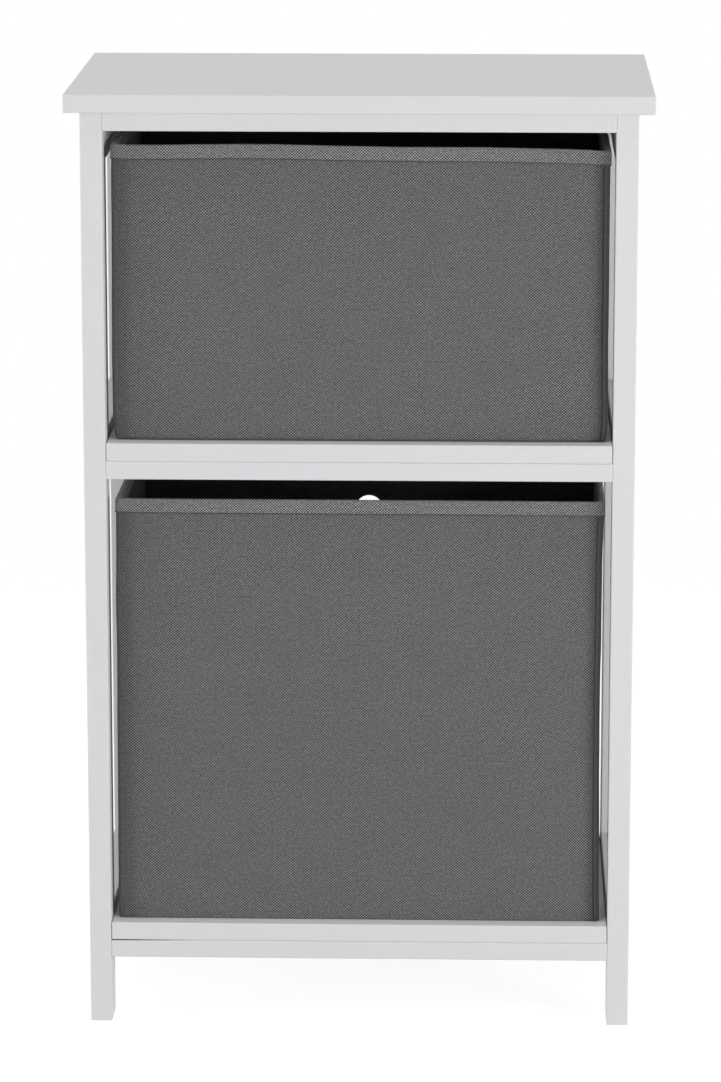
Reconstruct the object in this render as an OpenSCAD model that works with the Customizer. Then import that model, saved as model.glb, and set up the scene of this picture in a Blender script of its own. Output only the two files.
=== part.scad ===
// Open bathroom storage tower: a painted timber frame with two shelves and two fabric bins.
// Origin on the floor under the middle of the tower, X to the right, Y to the rear, Z up.

/* [Overall] */
// Height from the floor to the top surface
tower_h = 780; // [680:1:1000]
// Width across the outer faces of the legs
frame_w = 450; // [400:1:650]
// Depth across the front and rear faces of the legs
frame_d = 290; // [240:1:400]
// Overhang of the top board past the legs at each side
side_overhang = 13; // [0:0.5:30]
// Overhang of the top board past the legs at the front and rear
front_overhang = 5; // [0:0.5:25]

/* [Levels] */
// Height of the bottom rails above the floor
floor_gap = 56; // [46:1:140]
// Height of the opening between the bottom shelf and the middle rails
lower_opening_h = 378; // [220:1:420]
// Rise of the side rails above the shelf beside them
side_rail_rise = 8; // [0:0.5:12]

/* [Timber] */
// Thickness of the top board
top_board_t = 15; // [13:0.5:22]
// Thickness of the shelves
shelf_t = 15; // [13:0.5:20]
// Height of the front and rear rails
rail_t = 15; // [14:0.5:20]
// Thickness of the legs and side rails, across the tower
leg_t = 18; // [16:0.5:26]
// Depth of the legs and of the front and rear rails, front to back
leg_d = 35; // [33:0.5:48]
// Height of the side rails
side_rail_h = 42; // [38:0.5:46]
// Radius of the eased edges of the timber
edge_r = 1; // [0.5:0.1:2]
// Gap between each end of a shelf and the side frame beside it
shelf_end_gap = 0.5; // [0.2:0.1:1]

/* [Bins] */
// Gap between a bin and the side frame, each side
bin_side_gap = 5; // [3:0.5:15]
// Setback of the bins from the front and rear faces of the legs
bin_setback = 13; // [3:0.5:30]
// Headroom above the upper bin
upper_headroom = 15; // [8:0.5:60]
// Headroom above the lower bin
lower_headroom = 20; // [8:0.5:90]
// Radius of the upright corners of a bin
bin_corner_r = 4; // [3:0.5:20]
// Width of the stitched fabric between a round corner and the end of a card
corner_seam_w = 2.5; // [1:0.5:6]
// Radius of the bottom edges of a bin
bin_base_r = 1.5; // [1:0.5:6]
// Thickness of the fabric of the cover and of the lining
fabric_t = 1; // [0.8:0.1:1.5]
// Thickness of the stiffening cards
card_t = 1.5; // [1:0.1:2.5]
// Thickness of the loose base board
base_board_t = 3; // [2:0.5:6]
// Gap round the edge of the loose base board
base_board_gap = 0.8; // [0.3:0.1:2]
// Height of the hem at the rim of a bin
hem_h = 12; // [8:0.5:20]
// Thickness of the hem tape
hem_t = 0.8; // [0.5:0.1:1.2]
// Diameter of the finger hole in the rear panel of a bin
finger_hole_d = 25; // [18:0.5:40]
// Depth of the middle of the finger hole below the rim
finger_hole_drop = 61; // [40:1:80]
// Clearance under a bin
bin_lift = 0.3; // [0.2:0.1:0.5]

/* [Connectors] */
// Diameter of the connector bolts
bolt_d = 6; // [5:0.5:6.5]
// Diameter of the bolt heads
bolt_head_d = 12; // [10:0.5:13]
// Thickness of the bolt heads
bolt_head_t = 2.2; // [1.8:0.1:2.6]
// Depth of the top of a bolt head below the face of the leg
bolt_head_sink = 0.3; // [0:0.1:0.6]
// Extra width of the counterbore over the bolt head
bolt_head_clearance = 0.8; // [0.4:0.1:1.2]
// Width across the flats of the hexagon socket in a bolt head
socket_af = 4; // [3:0.5:4.5]
// Extra width of the bolt bores over the bolts
bolt_clearance = 1; // [0.4:0.1:1.2]
// Diameter of the cross nuts
nut_d = 10; // [9.5:0.5:11]
// Distance from the end of a rail to the middle of its cross nut
nut_inset = 26; // [20:0.5:34]
// Timber left above a cross nut, and its recess below
nut_cover = 1.5; // [1:0.1:2.5]
// Diameter of the locating dowels in the front and rear rails
rail_dowel_d = 6; // [5:0.5:6]
// Length of a locating dowel in the rail
rail_dowel_reach = 18; // [12:0.5:24]
// Distance of the locating dowels from the bolts
rail_dowel_offset = 11; // [9.5:0.5:11.5]
// Diameter of the dowels in the side rails
side_dowel_d = 8; // [6:0.5:9]
// Length of a side dowel in the side rail
side_dowel_reach = 20; // [12:0.5:30]
// Distance between the two side dowels of a joint
side_dowel_pitch = 22; // [16:0.5:24]
// Length of every dowel in the leg
dowel_in_leg = 12; // [9:0.5:12]
// Diameter of the wood screws
screw_d = 4; // [3:0.5:5]
// Diameter of the screw heads
screw_head_d = 8; // [7:0.5:9]
// Length of screw in the board above the rail
screw_bite = 10; // [6:0.5:11]
// Distance from the middle screw of a rail to the outer ones
screw_pitch = 135; // [80:1:140]

/* [Hidden] */
$fn = 48;
over = 1;                // how far a cutter runs past the face that it opens
end_play = 0.5;          // spare depth of a blind hole past what stands in it
screw_hole_play = 0.6;   // extra width of a screw's hole through a rail
bolt_tip = 1;            // length of bolt past its cross nut
dowel_chamfer = 0.8;
slot_w = 1.4;            // screwdriver slot in the end of a cross nut
slot_depth = 1.2;
socket_depth = 3;

leg_h = tower_h - top_board_t;
opening_w = frame_w - 2 * leg_t;
side_rail_len = frame_d - 2 * leg_d;

bottom_rail_z = floor_gap;
bottom_shelf_z = bottom_rail_z + rail_t;
bottom_floor_z = bottom_shelf_z + shelf_t;
middle_rail_z = bottom_floor_z + lower_opening_h;
middle_shelf_z = middle_rail_z + rail_t;
middle_floor_z = middle_shelf_z + shelf_t;
top_rail_z = leg_h - rail_t;
rail_levels = [bottom_rail_z, middle_rail_z, top_rail_z];
side_rail_levels = [
    bottom_floor_z + side_rail_rise - side_rail_h,
    middle_floor_z + side_rail_rise - side_rail_h,
    leg_h - side_rail_h
];

leg_x = frame_w / 2 - leg_t / 2;
leg_y = frame_d / 2 - leg_d / 2;
bolt_end_x = opening_w / 2 - nut_inset - nut_d / 2 - bolt_tip;
nut_x = opening_w / 2 - nut_inset;
nut_h = rail_t - 2 * nut_cover;
bolt_head_x = frame_w / 2 - bolt_head_sink - bolt_head_t;
side_dowel_offsets = [-side_dowel_pitch / 2, side_dowel_pitch / 2];
screw_head_h = (screw_head_d - screw_d) / 2;
screw_tip_h = screw_d * 0.7;
screw_xs = [-screw_pitch, 0, screw_pitch];

bin_w = opening_w - 2 * bin_side_gap;
bin_d = frame_d - 2 * bin_setback;
upper_bin_z = middle_floor_z + bin_lift;
upper_bin_h = top_rail_z - middle_floor_z - upper_headroom;
lower_bin_z = bottom_floor_z + bin_lift;
lower_bin_h = lower_opening_h - lower_headroom;

// How far the layers of a bin wall lie in from the outside of the hem
cover_in = hem_t;
card_in = cover_in + fabric_t;
lining_in = card_in + card_t;
hollow_in = lining_in + fabric_t;
hem_hollow_in = hollow_in + hem_t;
inner_base_r = max(bin_base_r - fabric_t, 0.5);
card_end = bin_corner_r + corner_seam_w;

// ---- Shapes that repeat ----

// Rectangle centred on the origin with round corners
module rounded_rect(w, d, r) {
    square([w - 2 * r, d], center = true);
    square([w, d - 2 * r], center = true);
    for (x = [-1, 1], y = [-1, 1])
        translate([x * (w / 2 - r), y * (d / 2 - r)]) circle(r);
}

// Block centred on the origin in X and Y, standing on Z = 0, with every edge eased:
// r for the upright edges and edge for the rest
module eased_block(w, d, h, r, edge) {
    intersection() {
        linear_extrude(h) rounded_rect(w, d, r);
        translate([0, d / 2 + over, h / 2]) rotate([90, 0, 0])
            linear_extrude(d + 2 * over) rounded_rect(w, h, edge);
        translate([-w / 2 - over, 0, h / 2]) rotate([90, 0, 90])
            linear_extrude(w + 2 * over) rounded_rect(d, h, edge);
    }
}

module timber(w, d, h) {
    color("white") eased_block(w, d, h, edge_r, edge_r);
}

// Copies of a thing drawn in the corner at +X and +Y, in all four corners
module four_corners() {
    for (x = [0, 1], y = [0, 1]) mirror([x, 0, 0]) mirror([0, y, 0]) children();
}

module left_and_right() {
    for (x = [0, 1]) mirror([x, 0, 0]) children();
}

// Dowel along +Z with chamfered ends, from -before to +after
module dowel(d, before, after) {
    tip_d = d - 2 * dowel_chamfer;
    color("burlywood") {
        translate([0, 0, -before]) cylinder(h = dowel_chamfer, d1 = tip_d, d2 = d);
        translate([0, 0, dowel_chamfer - before])
            cylinder(h = before + after - 2 * dowel_chamfer, d = d);
        translate([0, 0, after - dowel_chamfer])
            cylinder(h = dowel_chamfer, d1 = d, d2 = tip_d);
    }
}

// ---- Places of the connectors in the corner at +X and +Y ----

module at_rail_bolts() {
    for (z = rail_levels) translate([0, leg_y, z + rail_t / 2]) rotate([0, 90, 0]) children();
}

module at_rail_dowels() {
    for (z = rail_levels)
        translate([opening_w / 2, leg_y + rail_dowel_offset, z + rail_t / 2])
            rotate([0, 90, 0]) children();
}

module at_side_dowels() {
    for (z = side_rail_levels, up = side_dowel_offsets)
        translate([leg_x, side_rail_len / 2, z + side_rail_h / 2 + up])
            rotate([-90, 0, 0]) children();
}

// Screws stand upright in a pair of rails, with their heads in the undersides
module at_screws(z) {
    for (x = screw_xs, y = [-leg_y, leg_y]) translate([x, y, z]) children();
}

// ---- Frame ----

module corner_leg() {
    difference() {
        translate([leg_x, leg_y, 0]) timber(leg_t, leg_d, leg_h);
        at_rail_bolts() {
            cylinder(h = frame_w, d = bolt_d + bolt_clearance);
            translate([0, 0, bolt_head_x])
                cylinder(h = frame_w, d = bolt_head_d + bolt_head_clearance);
        }
        at_rail_dowels()
            translate([0, 0, -over]) cylinder(h = dowel_in_leg + end_play + over, d = rail_dowel_d);
        at_side_dowels()
            translate([0, 0, -over]) cylinder(h = dowel_in_leg + end_play + over, d = side_dowel_d);
    }
}

module front_left_leg() mirror([1, 0, 0]) mirror([0, 1, 0]) corner_leg();
module front_right_leg() mirror([0, 1, 0]) corner_leg();
module rear_left_leg() mirror([1, 0, 0]) corner_leg();
module rear_right_leg() corner_leg();

// Front or rear rail, drawn at the rear: a bore and a dowel hole in each end, a cross nut hole
// from below, and countersunk screw holes
module cross_rail(z) {
    difference() {
        translate([0, leg_y, z]) timber(opening_w, leg_d, rail_t);
        left_and_right() {
            translate([bolt_end_x - end_play, leg_y, z + rail_t / 2]) rotate([0, 90, 0])
                cylinder(h = frame_w, d = bolt_d + bolt_clearance);
            translate([opening_w / 2 - rail_dowel_reach - end_play,
                       leg_y + rail_dowel_offset, z + rail_t / 2]) rotate([0, 90, 0])
                cylinder(h = frame_w, d = rail_dowel_d);
            translate([nut_x, leg_y, z - over])
                cylinder(h = rail_t - nut_cover + over, d = nut_d);
        }
        for (x = screw_xs) translate([x, leg_y, z]) {
            translate([0, 0, -over]) cylinder(h = rail_t + 2 * over, d = screw_d + screw_hole_play);
            cylinder(h = screw_head_h, d1 = screw_head_d, d2 = screw_d);
            translate([0, 0, -over]) cylinder(h = over, d = screw_head_d);
        }
    }
}

module top_front_rail() mirror([0, 1, 0]) cross_rail(top_rail_z);
module top_rear_rail() cross_rail(top_rail_z);
module middle_front_rail() mirror([0, 1, 0]) cross_rail(middle_rail_z);
module middle_rear_rail() cross_rail(middle_rail_z);
module bottom_front_rail() mirror([0, 1, 0]) cross_rail(bottom_rail_z);
module bottom_rear_rail() cross_rail(bottom_rail_z);

// Side rail, drawn at the right, between the legs and flush with their faces
module side_rail(z) {
    difference() {
        translate([leg_x, 0, z]) timber(leg_t, side_rail_len, side_rail_h);
        for (y = [0, 1], up = side_dowel_offsets) mirror([0, y, 0])
            translate([leg_x, side_rail_len / 2 + over, z + side_rail_h / 2 + up])
                rotate([90, 0, 0])
                    cylinder(h = side_dowel_reach + end_play + over, d = side_dowel_d);
    }
}

module top_left_side_rail() mirror([1, 0, 0]) side_rail(side_rail_levels[2]);
module top_right_side_rail() side_rail(side_rail_levels[2]);
module middle_left_side_rail() mirror([1, 0, 0]) side_rail(side_rail_levels[1]);
module middle_right_side_rail() side_rail(side_rail_levels[1]);
module bottom_left_side_rail() mirror([1, 0, 0]) side_rail(side_rail_levels[0]);
module bottom_right_side_rail() side_rail(side_rail_levels[0]);

// Blind holes for the screws in the underside of a board that lies on a pair of rails
module screw_pilots(z) {
    at_screws(z) translate([0, 0, -over]) cylinder(h = screw_bite + end_play + over, d = screw_d);
}

module top_board() {
    difference() {
        translate([0, 0, leg_h])
            timber(frame_w + 2 * side_overhang, frame_d + 2 * front_overhang, top_board_t);
        screw_pilots(leg_h);
    }
}

module shelf(z) {
    difference() {
        translate([0, 0, z]) timber(opening_w - 2 * shelf_end_gap, frame_d, shelf_t);
        screw_pilots(z);
    }
}

module middle_shelf() shelf(middle_shelf_z);
module bottom_shelf() shelf(bottom_shelf_z);

// ---- Connectors ----

// Bolt from its counterbore in the leg to just past its cross nut, with a hexagon socket
module rail_bolts() {
    color("silver") four_corners() at_rail_bolts() difference() {
        union() {
            translate([0, 0, bolt_end_x]) cylinder(h = bolt_head_x - bolt_end_x, d = bolt_d);
            translate([0, 0, bolt_head_x]) cylinder(h = bolt_head_t / 2, d = bolt_head_d);
            translate([0, 0, bolt_head_x + bolt_head_t / 2])
                cylinder(h = bolt_head_t / 2, d1 = bolt_head_d, d2 = bolt_head_d - bolt_head_t);
        }
        translate([0, 0, bolt_head_x + bolt_head_t - socket_depth])
            cylinder(h = socket_depth + over, d = socket_af / cos(30), $fn = 6);
    }
}

module rail_cross_nuts() {
    color("silver") four_corners() for (z = rail_levels)
        translate([nut_x, leg_y, z + nut_cover]) difference() {
            cylinder(h = nut_h, d = nut_d);
            translate([0, 0, nut_h / 2]) rotate([0, 90, 0])
                cylinder(h = 2 * nut_d, d = bolt_d, center = true);
            translate([0, 0, slot_depth / 2 - over / 2])
                cube([nut_d + 2 * over, slot_w, slot_depth + over], center = true);
        }
}

module rail_dowels() {
    four_corners() at_rail_dowels() dowel(rail_dowel_d, rail_dowel_reach, dowel_in_leg);
}

module side_rail_dowels() {
    four_corners() at_side_dowels() dowel(side_dowel_d, side_dowel_reach, dowel_in_leg);
}

// Countersunk wood screw with its head flush in the underside of the rail
module screw() {
    shank_h = rail_t + screw_bite - screw_head_h - screw_tip_h;
    color("goldenrod") {
        cylinder(h = screw_head_h, d1 = screw_head_d, d2 = screw_d);
        translate([0, 0, screw_head_h]) cylinder(h = shank_h, d = screw_d);
        translate([0, 0, screw_head_h + shank_h])
            cylinder(h = screw_tip_h, d1 = screw_d, d2 = screw_d / 8);
    }
}

module top_board_screws() at_screws(top_rail_z) screw();
module middle_shelf_screws() at_screws(middle_rail_z) screw();
module bottom_shelf_screws() at_screws(bottom_rail_z) screw();

// ---- Bins ----

// A corner radius follows the layer in, down to a small fillet
function layer_r(inset) = max(bin_corner_r - inset, 0.5);

// Footprint of a bin layer that lies inset inside the outside of the hem
module bin_outline(inset) {
    rounded_rect(bin_w - 2 * inset, bin_d - 2 * inset, layer_r(inset));
}

// Solid body of a layer from z to the rim, with round bottom edges; its top edges lie past
// the rim and are cut off there
module bin_body(inset, z, top, base_r) {
    rise = top - z + 2 * base_r;
    intersection() {
        translate([0, 0, z])
            eased_block(bin_w - 2 * inset, bin_d - 2 * inset, rise, layer_r(inset), base_r);
        translate([-bin_w / 2, -bin_d / 2, z]) cube([bin_w, bin_d, top - z]);
    }
}

module finger_hole(h) {
    translate([0, 0, h - finger_hole_drop]) rotate([-90, 0, 0])
        cylinder(h = bin_d, d = finger_hole_d);
}

module bin_cover(h) {
    top = h - hem_t;
    color("dimgray") difference() {
        bin_body(cover_in, 0, top, bin_base_r);
        bin_body(card_in, fabric_t, top + over, inner_base_r);
        finger_hole(h);
    }
}

module bin_lining(h) {
    top = h - hem_t;
    color("dimgray") difference() {
        bin_body(lining_in, fabric_t, top, bin_base_r);
        bin_body(hollow_in, 2 * fabric_t, top + over, inner_base_r);
        finger_hole(h);
    }
}

// Tape folded over the rim: one leg outside the cover, one inside the lining, and a fold
module bin_hem(h) {
    color("dimgray") translate([0, 0, h - hem_h]) {
        linear_extrude(hem_h) difference() {
            bin_outline(0);
            bin_outline(cover_in);
        }
        linear_extrude(hem_h) difference() {
            bin_outline(hollow_in);
            bin_outline(hem_hollow_in);
        }
        translate([0, 0, hem_h - hem_t]) linear_extrude(hem_t) difference() {
            bin_outline(0);
            bin_outline(hem_hollow_in);
        }
    }
}

// The loose board is rounded below, to lie flat past the round bottom edges of the lining
module bin_base_board() {
    inset = hollow_in + base_board_gap;
    color("gray") translate([0, 0, 2 * fabric_t])
        bin_body(inset, 0, base_board_t, inner_base_r);
}

// Cards stand between the cover and the lining, from above the round bottom edge to the fold
// of the hem, and stop short of the stitched corners
module end_card(h) {
    z = fabric_t + bin_base_r;
    w = bin_w - 2 * card_end;
    color("tan") translate([-w / 2, bin_d / 2 - lining_in, z]) cube([w, card_t, h - hem_t - z]);
}

module side_card(h) {
    z = fabric_t + bin_base_r;
    d = bin_d - 2 * card_end;
    color("tan") translate([bin_w / 2 - lining_in, -d / 2, z]) cube([card_t, d, h - hem_t - z]);
}

module rear_card(h) {
    difference() {
        end_card(h);
        finger_hole(h);
    }
}

module in_upper_bay() translate([0, 0, upper_bin_z]) children();
module in_lower_bay() translate([0, 0, lower_bin_z]) children();

module upper_bin_cover() in_upper_bay() bin_cover(upper_bin_h);
module upper_bin_lining() in_upper_bay() bin_lining(upper_bin_h);
module upper_bin_hem() in_upper_bay() bin_hem(upper_bin_h);
module upper_bin_base_board() in_upper_bay() bin_base_board();
module upper_bin_front_card() in_upper_bay() mirror([0, 1, 0]) end_card(upper_bin_h);
module upper_bin_rear_card() in_upper_bay() rear_card(upper_bin_h);
module upper_bin_left_card() in_upper_bay() mirror([1, 0, 0]) side_card(upper_bin_h);
module upper_bin_right_card() in_upper_bay() side_card(upper_bin_h);

module lower_bin_cover() in_lower_bay() bin_cover(lower_bin_h);
module lower_bin_lining() in_lower_bay() bin_lining(lower_bin_h);
module lower_bin_hem() in_lower_bay() bin_hem(lower_bin_h);
module lower_bin_base_board() in_lower_bay() bin_base_board();
module lower_bin_front_card() in_lower_bay() mirror([0, 1, 0]) end_card(lower_bin_h);
module lower_bin_rear_card() in_lower_bay() rear_card(lower_bin_h);
module lower_bin_left_card() in_lower_bay() mirror([1, 0, 0]) side_card(lower_bin_h);
module lower_bin_right_card() in_lower_bay() side_card(lower_bin_h);

// ---- Nodes ----

top_board();
middle_shelf();
bottom_shelf();
front_left_leg();
front_right_leg();
rear_left_leg();
rear_right_leg();
top_front_rail();
top_rear_rail();
middle_front_rail();
middle_rear_rail();
bottom_front_rail();
bottom_rear_rail();
top_left_side_rail();
top_right_side_rail();
middle_left_side_rail();
middle_right_side_rail();
bottom_left_side_rail();
bottom_right_side_rail();
rail_bolts();
rail_cross_nuts();
rail_dowels();
side_rail_dowels();
top_board_screws();
middle_shelf_screws();
bottom_shelf_screws();
upper_bin_cover();
upper_bin_lining();
upper_bin_hem();
upper_bin_base_board();
upper_bin_front_card();
upper_bin_rear_card();
upper_bin_left_card();
upper_bin_right_card();
lower_bin_cover();
lower_bin_lining();
lower_bin_hem();
lower_bin_base_board();
lower_bin_front_card();
lower_bin_rear_card();
lower_bin_left_card();
lower_bin_right_card();
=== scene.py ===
"""Looks of an open bathroom storage tower: painted timber, fittings and two sewn fabric bins.

Lengths are in metres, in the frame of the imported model: X to the right, Y to the rear, Z up.
"""

import functools
import logging
import math
from dataclasses import dataclass, field
from enum import Enum
from typing import Any, Callable, Mapping, Sequence, Union

import bpy
import numpy as np
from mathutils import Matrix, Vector, noise

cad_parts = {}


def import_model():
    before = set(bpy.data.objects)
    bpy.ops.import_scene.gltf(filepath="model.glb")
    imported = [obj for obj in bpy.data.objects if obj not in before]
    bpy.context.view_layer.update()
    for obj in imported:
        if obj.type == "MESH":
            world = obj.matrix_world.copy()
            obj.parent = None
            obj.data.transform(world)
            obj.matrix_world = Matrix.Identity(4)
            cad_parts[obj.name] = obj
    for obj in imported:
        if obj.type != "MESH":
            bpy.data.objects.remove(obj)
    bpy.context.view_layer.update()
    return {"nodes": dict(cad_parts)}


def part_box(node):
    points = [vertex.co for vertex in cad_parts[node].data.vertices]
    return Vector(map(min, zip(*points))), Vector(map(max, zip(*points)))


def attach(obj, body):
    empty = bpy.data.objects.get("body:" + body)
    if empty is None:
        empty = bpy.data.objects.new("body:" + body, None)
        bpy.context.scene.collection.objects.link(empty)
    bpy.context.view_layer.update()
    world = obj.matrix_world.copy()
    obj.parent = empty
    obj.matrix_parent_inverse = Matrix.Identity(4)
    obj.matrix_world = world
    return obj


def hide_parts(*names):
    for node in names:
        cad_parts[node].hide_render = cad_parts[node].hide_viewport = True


LOG = logging.getLogger("storage_tower")
MM = 0.001

Colour = tuple[float, float, float]
Profile = Sequence[tuple[float, float]]

WHITE: Colour = (1.0, 1.0, 1.0)
BLACK: Colour = (0.0, 0.0, 0.0)


def scaled(colour: Colour, factor: float) -> Colour:
    """Returns a colour made lighter or darker by a factor."""
    return tuple(factor * c for c in colour)


# ---- Shader sockets and recipes ----


def operator(operation: str, swapped: bool = False) -> Callable[["Socket", "Number"], "Socket"]:
    """Makes a method of a socket that adds a Math node.

    Args:
        operation: Blender's name of the operation.
        swapped: Whether the other value comes first.

    Returns:
        The method.
    """

    def apply(self: "Socket", other: "Number") -> "Socket":
        """Returns the operation's result."""
        first, second = (other, self) if swapped else (self, other)
        return self.recipe.math(operation, first, second)

    return apply


class Socket:
    """Output of a shader node, on which arithmetic adds Math nodes."""

    def __init__(self, recipe: "Recipe", output: bpy.types.NodeSocket) -> None:
        """Wraps an output of one of the recipe's nodes."""
        self.recipe = recipe
        self.output = output

    __add__ = operator("ADD")
    __radd__ = operator("ADD", swapped=True)
    __sub__ = operator("SUBTRACT")
    __rsub__ = operator("SUBTRACT", swapped=True)
    __mul__ = operator("MULTIPLY")
    __rmul__ = operator("MULTIPLY", swapped=True)
    larger = operator("MAXIMUM")

    def cosine(self) -> "Socket":
        """Returns the cosine."""
        return self.recipe.math("COSINE", self, 0.0)


Number = Union[float, Socket]
Input = Union[float, Sequence[float], Socket]


class Recipe:
    """Node tree of one material, put together from textures to surface."""

    def __init__(self, name: str, owner: Any = None) -> None:
        """Starts an empty tree.

        Args:
            name: Name of the new material, or of nothing where owner is given.
            owner: A world to build in, in place of a new material.
        """
        self.owner = owner or bpy.data.materials.new(name)
        self.owner.use_nodes = True
        self.nodes = self.owner.node_tree.nodes
        self.links = self.owner.node_tree.links
        self.nodes.clear()

    @staticmethod
    def pick(sockets: Any, key: Union[int, str]) -> bpy.types.NodeSocket:
        """Finds a socket.

        Args:
            sockets: Inputs or outputs of a node.
            key: Index, identifier or name of the socket.

        Returns:
            The socket.
        """
        if isinstance(key, int):
            return sockets[key]
        by_identifier = [s for s in sockets if s.identifier == key]
        return by_identifier[0] if by_identifier else sockets[key]

    def node(
        self,
        kind: str,
        settings: Mapping[str, Any] | None = None,
        sockets: Mapping[Union[int, str], Input] | None = None,
        output: Union[int, str] = 0,
    ) -> Socket | None:
        """Adds a node.

        Args:
            kind: Blender's name of the node type.
            settings: Properties, set before the sockets.
            sockets: Values or links of the inputs.
            output: The output to return.

        Returns:
            The chosen output, or None from a node that has no outputs.
        """
        node = self.nodes.new(kind)
        for key, value in (settings or {}).items():
            setattr(node, key, value)
        for key, value in (sockets or {}).items():
            entry = self.pick(node.inputs, key)
            if isinstance(value, Socket):
                self.links.new(value.output, entry)
            elif entry.type == "RGBA":
                entry.default_value = (*value, 1.0)
            else:
                entry.default_value = value
        return Socket(self, self.pick(node.outputs, output)) if node.outputs else None

    def math(self, operation: str, a: Number, b: Number) -> Socket:
        """Adds a Math node and returns its value."""
        return self.node("ShaderNodeMath", {"operation": operation}, {0: a, 1: b})

    def tint(self, factor: Number, low: Input, high: Input) -> Socket:
        """Returns a colour between low and high."""
        return self.node(
            "ShaderNodeMix",
            {"data_type": "RGBA"},
            {"Factor_Float": factor, "A_Color": low, "B_Color": high},
            "Result_Color",
        )

    def step(self, value: Number, low: float, high: float) -> Socket:
        """Returns 0 below low and 1 above high, with a smooth rise between."""
        return self.node(
            "ShaderNodeMapRange",
            {"interpolation_type": "SMOOTHSTEP"},
            {"Value": value, "From Min": low, "From Max": high},
        )

    def fog(self, place: Socket, scale: float, detail: float = 2.0, rough: float = 0.5) -> Socket:
        """Returns a noise between 0 and 1, scale times a metre fine."""
        return self.node(
            "ShaderNodeTexNoise",
            None,
            {"Vector": place, "Scale": scale, "Detail": detail, "Roughness": rough},
        )

    def streaks(
        self, place: Socket, fineness: Sequence[float], detail: float = 2.0, rough: float = 0.5
    ) -> Socket:
        """Returns a noise between 0 and 1 with a fineness of its own along each axis."""
        stretched = self.node("ShaderNodeMapping", None, {"Vector": place, "Scale": fineness})
        return self.fog(stretched, 1.0, detail, rough)

    def object_place(self) -> Socket:
        """Returns the place on the object, in metres."""
        return self.node("ShaderNodeTexCoord", output="Object")

    def coordinate(self, place: Socket, axis: str) -> Socket:
        """Returns a place's coordinate along X, Y or Z."""
        return self.node("ShaderNodeSeparateXYZ", None, {"Vector": place}, axis)

    def bump(self, height: Socket, relief: float, below: Socket | None = None) -> Socket:
        """Returns a normal bent by a height field.

        Args:
            height: Height between 0 and 1.
            relief: Height in metres of a value of 1.
            below: Normal of a coarser relief underneath.

        Returns:
            The normal.
        """
        sockets = {"Height": height, "Distance": relief, "Strength": 1.0}
        if below:
            sockets["Normal"] = below
        return self.node("ShaderNodeBump", None, sockets)

    def shader(self, kind: str, sockets: Mapping[str, Input]) -> Socket:
        """Returns a shader, given the part of its type's name that is its own."""
        return self.node(f"ShaderNode{kind}", None, sockets)

    def mixed(self, factor: Number, low: Socket, high: Socket) -> Socket:
        """Returns a shader between two others."""
        return self.node("ShaderNodeMixShader", None, {0: factor, 1: low, 2: high})


# ---- Finishes ----


@dataclass(frozen=True)
class Finish:
    """Look of a surface."""

    name: str

    def surface(self, recipe: Recipe) -> Mapping[str, Input]:
        """Returns the sockets of the surface shader, each with its value or link."""
        raise NotImplementedError

    @functools.cache
    def material(self) -> bpy.types.Material:
        """Makes the material once, for all the pieces that have this finish.

        Returns:
            The material.
        """
        recipe = Recipe(self.name)
        surface = recipe.shader("BsdfPrincipled", self.surface(recipe))
        recipe.shader("OutputMaterial", {"Surface": surface})
        return recipe.owner


class Grain(Enum):
    """Way in which the grain of a timber runs, as the fineness of its figure by axis."""

    ACROSS_FRONT = (9.0, 420.0, 420.0)
    FRONT_TO_BACK = (420.0, 9.0, 420.0)
    UPRIGHT = (420.0, 420.0, 9.0)


@dataclass(frozen=True)
class PaintedTimber(Finish):
    """Sprayed satin paint, through which the grain shows only as a faint relief.

    An open joint is given as its height, and how far to the right its bare end reaches.
    """

    grain: Grain
    colour: Colour = (0.716, 0.716, 0.724)
    raw: Colour = (0.115, 0.070, 0.062)
    roughness: float = 0.48
    open_joint: tuple[float, float] | None = None

    # Fineness of the noises, in bumps to a metre
    PEEL, CLOUD = 330.0, 9.0

    SHADE, LIGHT = 0.975, 1.02
    GRAIN_RELIEF, PEEL_RELIEF = 0.016 * MM, 0.010 * MM
    JOINT_EDGE = (0.35 * MM, 0.8 * MM)
    END_WANDER, END_FADE = 0.03, 0.09

    def surface(self, recipe: Recipe) -> Mapping[str, Input]:
        """Works out the surface shader's sockets.

        Args:
            recipe: The material's recipe.

        Returns:
            Each socket's value or link.
        """
        place = recipe.object_place()
        figure = recipe.streaks(place, self.grain.value, 5.0, 0.6)
        peel = recipe.fog(place, self.PEEL)
        cloud = recipe.fog(place, self.CLOUD, 3.0)
        relief = recipe.bump(figure, self.GRAIN_RELIEF)
        relief = recipe.bump(peel, self.PEEL_RELIEF, relief)
        shade, light = scaled(self.colour, self.SHADE), scaled(self.colour, self.LIGHT)
        paint = recipe.tint(cloud * 0.7 + figure * 0.3, shade, light)
        if self.open_joint:
            paint = recipe.tint(self.bare_edge(recipe, place, peel), paint, self.raw)
        return {
            "Base Color": paint,
            "Roughness": self.roughness - 0.06 + 0.12 * peel,
            "Normal": relief,
            "Specular IOR Level": 0.30,
        }

    def bare_edge(self, recipe: Recipe, place: Socket, peel: Socket) -> Socket:
        """Finds where the paint stops short in an open joint, at its left end.

        Args:
            recipe: The material's recipe.
            place: Place on the object.
            peel: Noise that breaks the edge of the paint.

        Returns:
            The share of bare timber.
        """
        across, level = recipe.coordinate(place, "X"), recipe.coordinate(place, "Z")
        height, reach = self.open_joint
        bare, painted = self.JOINT_EDGE
        above = recipe.step(level, height - painted, height - bare)
        below = 1.0 - recipe.step(level, height + bare, height + painted)
        run = across + self.END_WANDER * peel
        return above * below * (1.0 - recipe.step(run, reach - self.END_FADE, reach))


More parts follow.
